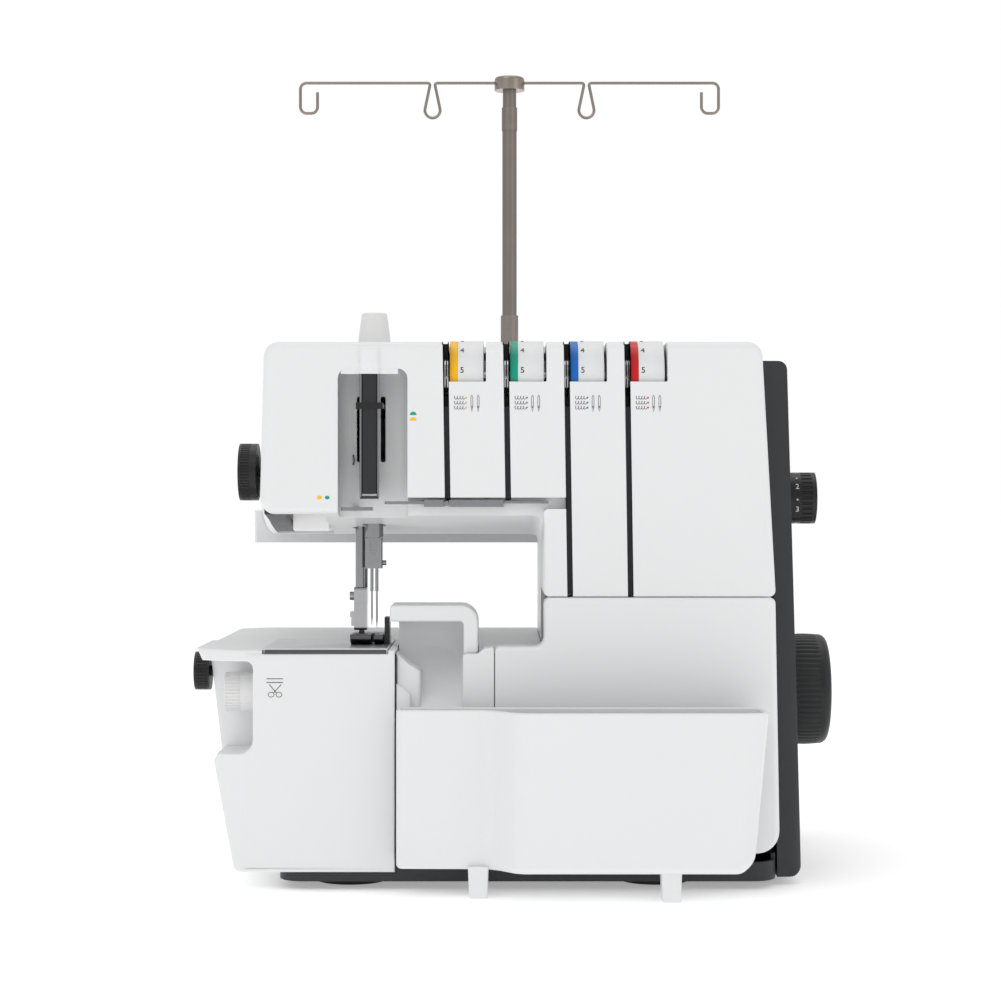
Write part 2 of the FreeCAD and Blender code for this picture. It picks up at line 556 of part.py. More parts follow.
# ---------------------------------------------------------------- frame and drive
def frame_casting():
    """Cast frame: base plate, column, hollow arm, head with its bar guides, bed web and brackets."""
    d0, d1, z0, z1 = arm_tube
    arm = block(-120, 92, d0, d1, z0, z1).cut(block(-114, 60, d0 + 6, d1 - 6, z0 + 6, z1 - 6))
    head_x0, head_x1 = -120.0, -68.0
    pieces = [
        block(-125, 128, 20, 214, frame_z, frame_z + 6),
        block(60, 92, 86, 134, frame_z, z1),
        arm,
        block(head_x0, head_x1, 92, d0 + 1, guide_low[0], guide_high[1]),
        block(head_x0, head_x0 + 8, 44, 93, guide_low[0], guide_high[1]),
        block(head_x0, head_x1, 42, 93, *guide_low),
        block(head_x0, head_x1, 42, 93, *guide_high),
        block(-136, -8, 84, 94, frame_z, bed_z - wall),
        block(-136, -128, 22, 85, 92, plate_top - plate_t),
        block(-20, -8, 84, 124, frame_z, shaft_z + 16),
        block(-104, -98.4, lever_deep - 8, lever_deep + 8, lever_z - 6, z0 + 1),
        block(-85.6, -80, lever_deep - 8, lever_deep + 8, lever_z - 6, z0 + 1),
        block(116.4, 120, 134, 198, frame_z, 86),
        # lugs for the tension bracket
        block(-60, -52, 60, d0 + 1, 228, 262),
        block(78, 86, 60, d0 + 1, 228, 262),
        block(104, 112, 66, 74, frame_z, 222),
        # posts that the covers are screwed to
        rod(4, -110, 70, guide_high[1] - 1, Z_AXIS, top_z - wall - guide_high[1] + 1),
        rod(4, -100, 120, z1 - 1, Z_AXIS, top_z - wall - z1 + 1),
        rod(4, 76, 120, z1 - 1, Z_AXIS, top_z - wall - z1 + 1),
    ]
    for x in hinge_lugs:
        pieces.append(block(x, x + hinge_lug_w, 20, 25, frame_z, hinge_z + 3))
        pieces.append(rod(3.2, x, hinge_deep, hinge_z, X_AXIS, hinge_lug_w))
        pieces.append(block(x, x + hinge_lug_w, hinge_deep, 21, hinge_z - 3, hinge_z + 3))
    holes = [
        rod(bush_r, -25, shaft_deep, shaft_z, X_AXIS, 130),
        rod(needle_bar_r + running, needle_x, needle_deep, 190, Z_AXIS, 100),
        rod(presser_bar_r + running, presser_x, presser_deep, 190, Z_AXIS, 100),
        rod(screw_r + running, knob_x, knob_deep, 240, Z_AXIS, 60),
        rod(lever_pin_r + running, -110, lever_deep, lever_z, X_AXIS, 40),
        rod(motor_shaft_r + 2, 110, motor_deep, motor_z, X_AXIS, 20),
        rod(hinge_r + running, 20, hinge_deep, hinge_z, X_AXIS, 100),
    ]
    for x, z in looper_pivots.values():
        holes.append(rod(looper_pin_r + running, x, 80, z, Y_AXIS, 20))
    for name, x in (("cutting_width_dial", -140), ("knife_release_knob", -140), ("differential_feed_dial", -125),
                    ("stitch_length_dial", 100)):
        d, z, r = dials[name]
        holes.append(rod(knob_pin_r + running, x, d, z, X_AXIS, 20))
    keep("frame_casting", fuse(*pieces).cut(holes).removeSplitter())


def shaft_bushes():
    """Bronze bushes that carry the main shaft in the column and the left bracket."""
    keep("shaft_bushes",
         pipe(bush_r, shaft_r + running, -20, shaft_deep, shaft_z, X_AXIS, 12),
         pipe(bush_r, shaft_r + running, 60, shaft_deep, shaft_z, X_AXIS, 32))


def main_shaft():
    """Main shaft with its belt pulley, looper cam and needle crank disc."""
    shaft = rod(shaft_r, -32, shaft_deep, shaft_z, X_AXIS, wheel_x1 - 6 + 32)
    pulley = pipe(pulley_r, shaft_r, belt_x, shaft_deep, shaft_z, X_AXIS, belt_w)
    rims = [pipe(pulley_r + 3, shaft_r, belt_x - 2, shaft_deep, shaft_z, X_AXIS, 1.8),
            pipe(pulley_r + 3, shaft_r, belt_x + belt_w + 0.2, shaft_deep, shaft_z, X_AXIS, 1.8)]
    cam = rod(16, 5, shaft_deep + 4, shaft_z, X_AXIS, 8).cut(rod(shaft_r, 0, shaft_deep, shaft_z, X_AXIS, 20))
    disc = pipe(15, shaft_r, 36, shaft_deep, shaft_z, X_AXIS, 6)
    keep("main_shaft", shaft, fuse(pulley.fuse(block(belt_x - 1, belt_x, shaft_deep + 8, shaft_deep + 9,
                                                     shaft_z, shaft_z + 1)), *rims), cam, disc)


def handwheel():
    """Smooth handwheel with a rounded rim and a hollow back."""
    x0, x1, rim = wheel_x0, wheel_x1, 5.0
    profile = [(0, x0 + 9), (0, x1 - 3), (20, x1 - 3), (24, x1), (wheel_r, x1), (wheel_r, x0), (wheel_r - 4, x0),
               (wheel_r - 5, x0 + 9)]
    wire = outline(profile, [0, 0, 3, 3, rim, 1, 1, 2], lambda u, v: V(v, deep(shaft_deep) + u, shaft_z))
    solid = Part.Face(wire).revolve(V(0, deep(shaft_deep), shaft_z), X_AXIS, 360)
    keep("handwheel", solid.cut(rod(shaft_r, x0, shaft_deep, shaft_z, X_AXIS, x1 - 6 - x0)))


def drive_motor():
    """Motor can, held on the frame's bracket, with a bore for its rotor shaft."""
    can = rod(motor_r, 62, motor_deep, motor_z, X_AXIS, 116.4 - 62)
    can = can.makeFillet(3, [e for e in can.Edges if e.Closed and abs(e.CenterOfMass.x - 62) < 0.1])
    keep("drive_motor", can.cut(rod(motor_shaft_r + running, 90, motor_deep, motor_z, X_AXIS, 40)))


def motor_pulley():
    """Rotor shaft with its small belt pulley."""
    shaft = rod(motor_shaft_r, 90.5, motor_deep, motor_z, X_AXIS, belt_x + belt_w + 2 - 90.5)
    pulley = pipe(motor_pulley_r, motor_shaft_r - 0.5, belt_x, motor_deep, motor_z, X_AXIS, belt_w)
    keep("motor_pulley", fuse(shaft, pulley))


def drive_belt():
    """Flat toothed belt round the two pulleys."""
    clear = 0.12

    def loop(grow):
        y0, z0, y1, z1 = deep(shaft_deep), shaft_z, deep(motor_deep), motor_z
        ra, rb = pulley_r + grow, motor_pulley_r + grow
        span = math.hypot(y1 - y0, z1 - z0)
        uy, uz = (y1 - y0) / span, (z1 - z0) / span
        lean = math.acos((ra - rb) / span)

        def rim(cy, cz, r, angle):
            c, s = math.cos(angle), math.sin(angle)
            return V(belt_x + 1, cy + r * (uy * c - uz * s), cz + r * (uz * c + uy * s))
        a0, b0 = rim(y0, z0, ra, lean), rim(y1, z1, rb, lean)
        a1, b1 = rim(y0, z0, ra, -lean), rim(y1, z1, rb, -lean)
        edges = [Part.LineSegment(a0, b0).toShape(),
                 Part.Arc(b0, rim(y1, z1, rb, 0), b1).toShape(),
                 Part.LineSegment(b1, a1).toShape(),
                 Part.Arc(a1, rim(y0, z0, ra, math.pi), a0).toShape()]
        return Part.Face(Part.Wire(edges)).extrude(V(belt_w - 2, 0, 0))
    keep("drive_belt", loop(clear + belt_t).cut(loop(clear)))


# ---------------------------------------------------------------- needles and presser
def needle_bar():
    """Needle bar with the collar that drives it and the take-up."""
    bar = rod(needle_bar_r, needle_x, needle_deep, clamp_z[1] - 8, Z_AXIS, 290 - clamp_z[1] + 8)
    collar = rod(7.0, needle_x, needle_deep, 257, Z_AXIS, 10)
    stop = rod(5.0, needle_x, needle_deep, clamp_z[1] + gap, Z_AXIS, 9)
    keep("needle_bar", fuse(bar, collar, stop))


def needle_clamp():
    """Needle clamp with its window and screws."""
    x0, x1 = needle_x - 4.8, needle_x + 4.8
    body = prism_z([(x0, 44.5), (x1, 44.5), (x1, 54.6), (x0, 54.6)], 1.5, *clamp_z)
    body = body.cut([rod(needle_bar_r, needle_x, needle_deep, clamp_z[1] - 8, Z_AXIS, 10),
                     block(needle_x - 2.2, needle_x + 2.2, 44, 46, 183, 188)])
    body = body.cut([rod(0.9, needle_x + s * needle_pitch / 2, needle_deep, clamp_z[0] - 1, Z_AXIS, 7)
                     for s in (-1, 1)])
    screws = [rod(1.5, needle_x + s * 0.7, 43.6, z, Y_AXIS, 2.5) for s, z in ((-1, 180.3), (1, 176.5))]
    side = rod(1.4, x1 - 1, needle_deep, 176, X_AXIS, 3)
    body = body.cut(screws + [side])
    keep("needle_clamp", body, *screws, side)


def needles():
    """Two needles: shank, blade and point."""
    made = []
    for side in (-1, 1):
        x = needle_x + side * needle_pitch / 2
        tip = 140.0 - side * 0.8
        shank = rod(0.9, x, needle_deep, 160, Z_AXIS, 19)
        blade = rod(0.5, x, needle_deep, tip + 5, Z_AXIS, 160.5 - tip - 5)
        point = taper(0.08, 0.5, x, needle_deep, tip, Z_AXIS, 5)
        made.append(fuse(shank, blade, point))
    keep("needles", *made)


def take_up_lever():
    """Black bar in front of the guard, with two arms back to the needle bar's collar."""
    z0, z1 = 261.0, 263.5
    arms = [block(needle_x + s * 6.5 - 0.8, needle_x + s * 6.5 + 0.8, -1.2, needle_deep, z0, z1) for s in (-1, 1)]
    bar = block(needle_x - 7.3, needle_x + 7.3, -1.2, 0.4, z0 - 0.5, z1 + 0.5)
    lever = fuse(bar, *arms)
    keep("take_up_lever", lever.cut(rod(7.0, needle_x, needle_deep, 250, Z_AXIS, 30)))


def take_up_guard():
    """Dark strip with bright edges in the middle of the pocket, on a thin rib."""
    x0, x1, z0, z1 = needle_x - 5.1, needle_x + 5.1, 213.5, 280.6
    face = block(x0 + 1.2, x1 - 1.2, 1.2, 3.2, z0 + 1, z1)
    rib = block(needle_x - 3.0, needle_x + 3.0, 3.2, pocket_deep, z0 + 4, z1)
    edges = [block(x - 0.6, x + 0.6, 0.8, 5.2, z0, z1) for x in (x0 + 0.6, x1 - 0.6)]
    lip = block(x0, x1, 0.4, 4.0, z0 - 1.6, z0)
    keep("take_up_guard", face, rib, *edges, lip)


def presser_bar():
    """Presser bar with the collar that its spring pushes on."""
    bar = rod(presser_bar_r, presser_x, presser_deep, 152, Z_AXIS, 282 - 152)
    keep("presser_bar", fuse(bar, rod(6.5, presser_x, presser_deep, 226, Z_AXIS, 7)))


def presser_spring():
    """Spring round the presser bar, between its collar and the upper guide."""
    inner, outer = presser_bar_r + 0.3, 5.6
    coil_z0, coil_z1, turns = 233.0, 268.0, 9
    helix = Part.makeHelix((coil_z1 - coil_z0 - 1.6) / turns, coil_z1 - coil_z0 - 1.6, (inner + outer) / 2)
    start = V((inner + outer) / 2, 0, 0)
    wire = Part.Wire(helix.Edges)
    section = Part.Wire(Part.makeCircle((outer - inner) / 2 * 0.8, start, V(0, 1, 0.15)))
    coil = wire.makePipeShell([section], True, True)
    coil.translate(V(presser_x, deep(presser_deep), coil_z0 + 0.8))
    keep("presser_spring", Part.Solid(coil) if coil.ShapeType != "Solid" else coil)


def foot_holder():
    """Ankle on the presser bar that carries the presser foot."""
    x0, x1 = presser_x - 3.9, presser_x + 3.4
    body = prism_x([(55, 137.8), (69, 137.8), (69, 162), (55, 162)], 1.5, x0, x1)
    body = body.cut([rod(presser_bar_r, presser_x, presser_deep, 152, Z_AXIS, 20),
                     block(x0 + 2, x1 - 2, 64, 70, 137, 143)])
    screw = rod(2.4, x0 - 2.6, 60, 157, X_AXIS, 2.8)
    lever = fuse(block(x0 - 2.4, x0 - 0.2, 58, 71, 145, 148), block(x0 - 2.4, x0 - 0.2, 68, 71, 139.5, 148))
    body = body.cut([screw])
    keep("foot_holder", body, screw, lever)


def presser_foot():
    """Overlock foot: sole, raised toe and the pin lug."""
    x0, x1 = -94.3, -76.2
    low = plate_top + 0.2
    heel = foot_pin[0] - 2             # the sole rises behind the pin, so that the toe can tip up
    side = [(30, low + 3), (36, low), (heel, low), (80, low + 3.4), (80, low + 4.4), (34, low + 5.5), (30, low + 5.5)]
    sole = prism_x(side, [0.8, 6, 0, 0.3, 0.3, 1, 1], x0, x1)
    prong = block(x1 - 1, -73.1, 56, heel, low, low + 3)
    lug = fuse(rod(2.2, presser_x - 1.7, foot_pin[0], foot_pin[1], X_AXIS, 3.0),
               block(presser_x - 1.7, presser_x + 1.3, foot_pin[0] - 2.2, foot_pin[0] + 2.2, low + 2, foot_pin[1]))
    body = fuse(sole, prong, lug)
    slot = block(needle_x - 3.2, needle_x + 3.2, 46.5, 53.5, low - 1, low + 8)
    fork = block(needle_x - 0.8, needle_x + 0.8, 29, 47, low - 1, low + 8)
    keep("presser_foot", body.cut([slot, fork]).removeSplitter())


def presser_lever():
    """Lever behind the head that lifts the foot."""
    d1, z1 = 193.0, 175.0
    arm = prism_x([(lever_deep - 3, lever_z - 4), (d1, z1 - 4), (d1 + 3, z1 + 3), (lever_deep + 2, lever_z + 4)],
                  [0, 2, 2, 0], -96, -88)
    hub = rod(6.5, -98, lever_deep, lever_z, X_AXIS, 12)
    pin = rod(lever_pin_r, -104, lever_deep, lever_z, X_AXIS, 24)
    keep("presser_lever", fuse(arm, hub, pin))


def pressure_knob():
    """White knob on top of the head, on its pressure screw."""
    body = taper(9.65, 7.1, knob_x, knob_deep, top_z + gap, Z_AXIS, 19.6)
    body = body.makeFillet(1.2, [e for e in body.Edges if e.Closed and e.CenterOfMass.z > top_z + 10])
    keep("pressure_knob", fuse(body, rod(screw_r, knob_x, knob_deep, 270, Z_AXIS, top_z + 2 - 270)))


# ---------------------------------------------------------------- thread tension
def tension_dials():
    """Four dials on fixed posts: a coloured ring beside the slot and a white drum."""
    for i, colour in enumerate(COLOURS):
        x = dial_x(i)
        bore = rod(post_r + running, x - 1, dial_deep, dial_z, X_AXIS, ring_w + drum_w + 2)
        ring = rod(dial_r, x, dial_deep, dial_z, X_AXIS, ring_w).cut(bore)
        drum = rod(dial_r, x + ring_w, dial_deep, dial_z, X_AXIS, drum_w).cut(bore)
        keep("tension_ring_" + colour, ring)
        keep("tension_dial_" + colour, drum)


def tension_posts():
    """Bracket with four posts, each with its pair of tension discs in the slot."""
    made = [block(-58, 92, 57, 60, 236, 290)]
    for i in range(4):
        x, end = slot_x(i, dial_z), dial_x(i) + ring_w + drum_w
        arm = block(end + 1.8, end + 4.2, dial_deep - 8, 57.4, dial_z - 10, dial_z + 8)
        post = rod(post_r, x - 3, dial_deep, dial_z, X_AXIS, end + 3 - (x - 3))
        made[0] = made[0].fuse([arm, post])
        for dx in (0.5, 1.9):
            made.append(pipe(11, post_r, x + dx, dial_deep, dial_z, X_AXIS, 0.7))
    made[0] = made[0].removeSplitter()
    keep("tension_posts", *made)


def thread_channels():
    """Dark channels behind the thread slots."""
    made = []
    side = channel_side
    for i in range(4):
        low = slot_low(i) + (wall + gap if i < 2 else 2.0)
        d0, d1 = wall, 30.0
        x0, x1 = slot_x(i, low) - side, slot_x(i, low) + slot_w + side
        t0, t1 = slot_x(i, channel_top) - side, slot_x(i, channel_top) + slot_w + side
        outer = prism_y([(x0, low), (x1, low), (t1, channel_top), (t0, channel_top)], 0, d0, d1)
        inner = prism_y([(x0 + side, low - 1), (x1 - side, low - 1), (t1 - side, channel_top + 1),
                         (t0 + side, channel_top + 1)], 0, d0 - 1, d1 - side)
        made.append(outer.cut(inner))
    keep("thread_channels", *made)


def thread_guides():
    """Bright guide plates along the band, the clip under the pocket, and the small wire hooks."""
    z0, z1, d0, d1 = 208.0, 212.0, 2.0, band_deep
    plates = [prism_z([(-75.0, 5), (-66, 2), (-52.6, 3), (-52.6, d1), (-66, d1)], [0.5, 1, 0, 0, 0], z0 + 1, z0 + 2.6),
              block(-52.4, -41.8, d0, d1, z0 - 0.5, z1 - 0.7),
              block(-38.8, -9.4, d0, d1, z0 - 0.5, z1 - 0.7),
              prism_z([(-9.0, 3), (20.0 - 5, 3), (27.0 - 12.4, 6), (12.0, d1), (-9.0, d1)], 0, z0 + 1.4, z0 + 2.6)]
    clip = prism_z([(-97.5, 2), (-80.5, 0.5), (-80.0, 6), (-97.5, 12)], [1, 1, 0, 0], 205.5, 207.5)
    clip = fuse(clip, block(-92, -88, 4, pocket_deep, 205.5, 207.5))
    screw = rod(1.3, -40.3, d0 - 0.6, z0 + 1.4, Y_AXIS, d1 + 0.6 - d0)
    hook = Part.makeTorus(2.4, 0.6, V(needle_x - 7.6 - 1.5, deep(6), 233), X_AXIS)
    stem = rod(0.6, needle_x - 7.6 - 1.5, 8.4, 233, Y_AXIS, pocket_deep - 8.4)
    keep("thread_guides", *plates, clip, screw, fuse(hook, stem))


# ---------------------------------------------------------------- knobs and dials
def side_dials():
    """The four side knobs, each with its shaft into the frame."""
    d, z, r = dials["differential_feed_dial"]
    x1 = left_at(d + r, z) - gap
    knob = ribbed(r, -158.3, d, z, x1 + 158.3, 60, 1.5, 6.5)
    keep("differential_feed_dial", fuse(knob, rod(knob_pin_r, x1 - 1, d, z, X_AXIS, -112.5 - x1 + 1)))
    d, z, r = dials["stitch_length_dial"]
    x0, x1 = casing_at(z - r) + gap, 168.0
    knob = ribbed(r, x0, d, z, x1 - x0, 30, 10.2, 16.0)
    keep("stitch_length_dial", fuse(knob, rod(knob_pin_r, 104.5, d, z, X_AXIS, x0 + 1 - 104.5)))
    d, z, r = dials["knife_release_knob"]
    knob = ribbed(r, -183.6, d, z, 8.6, 36, 1.5, 7.6)
    keep("knife_release_knob", fuse(knob, rod(knob_pin_r, -175, d, z, X_AXIS, 175 - 128.5)))
    d, z, r = dials["cutting_width_dial"]
    knob = ribbed(r, -163.0, d, z, nook_x - gap + 163.0, 36, 1.0, 9.0)
    keep("cutting_width_dial", fuse(knob, rod(knob_pin_r, -148, d, z, X_AXIS, 148 - 128.5)))


# ---------------------------------------------------------------- bed, knives, loopers
def needle_plate():
    """Steel stitch plate with its needle slot, feed slots and knife notch."""
    x0, x1 = plate
    slab = prism_z([(x0, 0.3), (x1, 0.3), (x1, plate_deep), (x0, plate_deep)], [2, 0, 3, 3],
                   plate_top - plate_t, plate_top)
    cuts = [block(needle_x - 3.4, needle_x + 3.4, 47, 53, 120, 140),
            block(-79.0, x1 + 1, 36.5, 53.5, 120, 140)]
    for x in (-92.0, -86.0):
        cuts.append(block(x - 1.7, x + 1.7, 55, 77, 120, 140))
    keep("needle_plate", slab.cut(cuts).removeSplitter())


def feed_dogs():
    """Two toothed bars under the plate on one carrier."""
    bars = []
    for x in (-92.0, -86.0):
        bars.append(block(x - 1.2, x + 1.2, 59, 73, 119, plate_top - 0.4))
    keep("feed_dogs", fuse(block(-94, -84, 58, 74, 116, 120), *bars))


def lower_knife():
    """Fixed lower knife in its clamp on the bed web."""
    blade = block(-78.8, -75.9, 38, 50, 100, plate_top)
    holder = block(-81, -75.9, 40, 84, 100, 108)
    keep("lower_knife", fuse(blade, holder))


def upper_knife():
    """Moving upper knife on its black holder, right of the lower knife."""
    keep("upper_knife", fuse(block(-75.6, -72.7, 38, 52, 112, 146), block(-75.6, -70.9, 40, 50, 96, 113)))


def loopers():
    """Upper and lower looper, each on a pivot pin through the bed web."""
    x, z = looper_pivots["upper_looper"]
    hub = rod(8, x, 56, z, Y_AXIS, 8)
    pin = rod(looper_pin_r, x, 56, z, Y_AXIS, 42)
    arm = block(x - 3, x + 3, 57, 62, z, z + 41)
    blade = prism_y([(x + 3, z + 38), (x + 3, z + 43), (x - 20, z + 47), (x - 26, z + 45)], [1, 1, 1, 0], 58, 61)
    keep("upper_looper", fuse(hub, pin, arm, blade))
    x, z = looper_pivots["lower_looper"]
    hub = rod(8, x, 66, z, Y_AXIS, 8)
    pin = rod(looper_pin_r, x, 66, z, Y_AXIS, 32)
    arm = block(x - 3, x + 3, 66, 71, z, z + 40)
    blade = prism_y([(x + 3, z + 38), (x + 3, z + 43), (x - 22, z + 43), (x - 30, z + 40)], [1, 1, 1, 0], 67, 70)
    keep("lower_looper", fuse(hub, pin, arm, blade))


def lamp():
    """Lamp lens and the dark insert beside it in the head's underside."""
    low = arm_z - arm_drop * 64 / cover_depth
    lens = block(lens_x[0], lens_x[1], 48, 80, low - 1.5, guide_low[0])
    keep("lamp_lens", lens.makeFillet(1.5, [e for e in lens.Edges if e.CenterOfMass.z < low]))
    slope = arm_drop / cover_depth
    side = [(3.4, arm_z - slope * 3.4), (79.6, arm_z - slope * 79.6), (79.6, arm_z - slope * 79.6 + 4),
            (3.4, arm_z - slope * 3.4 + 4)]
    keep("lamp_insert", prism_x(side, 0, insert_x[0], insert_x[1]))


# ---------------------------------------------------------------- thread stand
def spool_stand():
    """Tray behind the arm that carries the spool pins and the mast."""
    d0, d1 = body_depth, body_depth + stand_deep
    plan = [(stand_x[0], d0), (stand_x[1], d0), (stand_x[1], d1), (stand_x[0], d1)]
    outer = prism_z(plan, [2, 2, 20, 20], *stand_z)
    inner = prism_z(inset(plan, wall), [0, 0, 17.5, 17.5], stand_z[0] - 1, stand_z[1] - 3)
    post_h = stand_z[1] - stand_z[0] - 1
    posts = [rod(9, x, pin_deep, stand_z[0], Z_AXIS, post_h) for x in pin_places()]
    posts.append(rod(12, mast_x, mast_deep, stand_z[0], Z_AXIS, post_h))
    body = fuse(outer.cut(inner), *posts)
    holes = [rod(pin_shank_r, x, pin_deep, stand_z[0] + 2, Z_AXIS, 40) for x in pin_places()]
    holes.append(rod(tube_r, mast_x, mast_deep, stand_z[0] + 2, Z_AXIS, 40))
    keep("spool_stand", body.cut(holes).removeSplitter())


def pin_places():
    return [mast_x + pin_pitch * k for k in (-1.5, -0.5, 0.5, 1.5)]


def spool_pins():
    pins = []
    for x in pin_places():
        pin = rod(pin_r, x, pin_deep, stand_z[0] + 2, Z_AXIS, pin_top - stand_z[0] - 2)
        pin = pin.makeChamfer(1.0, [e for e in pin.Edges if e.Closed and e.CenterOfMass.z > pin_top - 1])
        shank = rod(pin_shank_r, x, pin_deep, stand_z[0] + 2, Z_AXIS, holder_top - stand_z[0] - 2)
        pins.append(fuse(pin, shank))
    keep("spool_pins", *pins)


def cone_holders():
    """Stepped holders that keep cones of thread upright on the pins."""
    made = []
    for x in pin_places():
        z = stand_z[1]
        base = rod(23, x, pin_deep, z, Z_AXIS, 2.4)
        body = taper(17, 9, x, pin_deep, z + 2, Z_AXIS, holder_top - z - 2)
        made.append(fuse(base, body).cut(rod(pin_shank_r, x, pin_deep, z - 1, Z_AXIS, 60)))
    keep("cone_holders", *made)


def mast():
    """Telescopic mast: a fixed lower tube and an inner tube that slides in it."""
    z0 = stand_z[0] + 2
    lower = pipe(tube_r, inner_r + running, mast_x, mast_deep, z0, Z_AXIS, tube_top - z0)
    lower = lower.fuse(pipe(tube_r, 2.0, mast_x, mast_deep, z0, Z_AXIS, 3))
    keep("mast_lower_tube", lower.removeSplitter())
    inner_low = tube_top - 6
    upper = rod(inner_r, mast_x, mast_deep, inner_low, Z_AXIS, inner_top - inner_low)
    collar = rod(5.0, mast_x, mast_deep, 449, Z_AXIS, inner_top - 449)
    stem = rod(stem_r, mast_x, mast_deep, inner_top - 1, Z_AXIS, cap_z[0] + 4 - inner_top)
    keep("mast_upper_tube", fuse(upper, collar, stem))


def thread_guide_yoke():
    """Cap and bent wire with two drop eyelets and two end eyelets."""
    y, z = deep(mast_deep), wire_z
    cap = rod(cap_r, mast_x, mast_deep, cap_z[0], Z_AXIS, cap_z[1] - cap_z[0])
    cap = cap.makeFillet(2.0, [e for e in cap.Edges if e.Closed and e.CenterOfMass.z > cap_z[1] - 0.1])
    cap = cap.cut(rod(stem_r + running, mast_x, mast_deep, cap_z[0] - 1, Z_AXIS, 5 + running))
    # the drop is narrow at its neck and round below, where one arc touches both legs and the bottom:
    # half_foot is where a leg would meet the bottom line
    rise = drop_low - drop_r
    square = rise ** 2 - drop_r ** 2
    lean = neck * drop_low * rise
    half_foot = neck + (math.sqrt(lean ** 2 + square * drop_low ** 2 * (drop_r ** 2 - neck ** 2)) - lean) / square
    wires = []
    for side in (-1, 1):
        x = mast_x + side * loop_in
        end_x, back_x = mast_x + side * loop_out, mast_x + side * (loop_out - hook_w)
        points = [(mast_x + side * 6, y, z), (x - side * neck, y, z), (x - side * half_foot, y, z - drop_low),
                  (x + side * half_foot, y, z - drop_low), (x + side * neck, y, z), (end_x, y, z),
                  (end_x, y, z - hook_low), (back_x, y, z - hook_low), (back_x, y, z - 6)]
        bends = [1.5, drop_r, drop_r, 1.5, hook_r, hook_r, hook_r]
        wires.append(bent_wire(points, bends, wire_r))
    keep("thread_guide_yoke", fuse(cap, *wires))


# ---------------------------------------------------------------- power
def power_parts():
    """Appliance inlet and rocker switch low on the right side."""
    x1 = casing_at(inlet_z) - 0.5
    x0 = x1 - 12
    w, h = inlet_w / 2, inlet_h / 2
    body = block(x0, x1, inlet_deep - w, inlet_deep + w, inlet_z - h, inlet_z + h)
    well = block(x0 + 3, x1 + 1, inlet_deep - w + 3, inlet_deep + w - 3, inlet_z - h + 3, inlet_z + h - 3)
    pins = [block(x0 + 2, x1 - 4, inlet_deep + k * 7 - 1, inlet_deep + k * 7 + 1, inlet_z - 2.5, inlet_z + 2.5)
            for k in (-1, 0, 1)]
    # the switch's own frame shares the moulding
    sx1 = casing_at(switch_z) - 0.5
    sx0 = sx1 - 11.5
    sw, sh = switch_w / 2, switch_h / 2
    frame = block(sx0, sx1, inlet_deep - sw, inlet_deep + sw, switch_z - sh, switch_z + sh)
    frame = frame.cut(block(sx0 + 2, sx1 + 1, inlet_deep - sw + 2, inlet_deep + sw - 2, switch_z - sh + 2,
                            switch_z + sh - 2))
    keep("power_inlet", fuse(body.cut(well), *pins), frame)
    rocker = prism_y([(sx1 - 7, switch_z), (sx1 - 3.4, switch_z - sh + 3.2), (sx1 + 1.6, switch_z - sh + 3.4),
                      (sx1 - 0.4, switch_z), (sx1 - 1.6, switch_z + sh - 3.4), (sx1 - 6.4, switch_z + sh - 3.2)],
                     [0, 1, 1, 3, 1, 1], inlet_deep - sw + 2.4, inlet_deep + sw - 2.4)
    pivot = rod(1.5, sx1 - 4.3, inlet_deep - sw + 2.1, switch_z, Y_AXIS, switch_w - 4.2)
    keep("power_switch", fuse(rocker, pivot))


def build():
    for make in (front_cover, rear_cover, side_casing, free_arm_cover, bed_cover, chute_guard, looper_cover,
                 hinge_rod, waste_collector, base_tray, rubber_feet, frame_casting, shaft_bushes, main_shaft,
                 handwheel, drive_motor, motor_pulley, drive_belt, needle_bar, needle_clamp, needles,
                 take_up_lever, take_up_guard, presser_bar, presser_spring, foot_holder, presser_foot,
                 presser_lever, pressure_knob, tension_dials, tension_posts, thread_channels, thread_guides,
                 side_dials, needle_plate, feed_dogs, lower_knife, upper_knife, loopers, lamp, spool_stand,
                 spool_pins, cone_holders, mast, thread_guide_yoke, power_parts):
        make()


build()
os.makedirs(PARTS, exist_ok=True)
for name, solids in MADE.items():
    for solid in solids:
        solid.translate(V(middle_shift, 0, 0))
    shape = solids[0] if len(solids) == 1 else Part.makeCompound(solids)
    shape.exportStep(os.path.join(PARTS, name + ".step"))
    print(name, len(shape.Solids), round(shape.Volume / 1000.0, 2), shape.isValid())
print(len(MADE), "nodes")
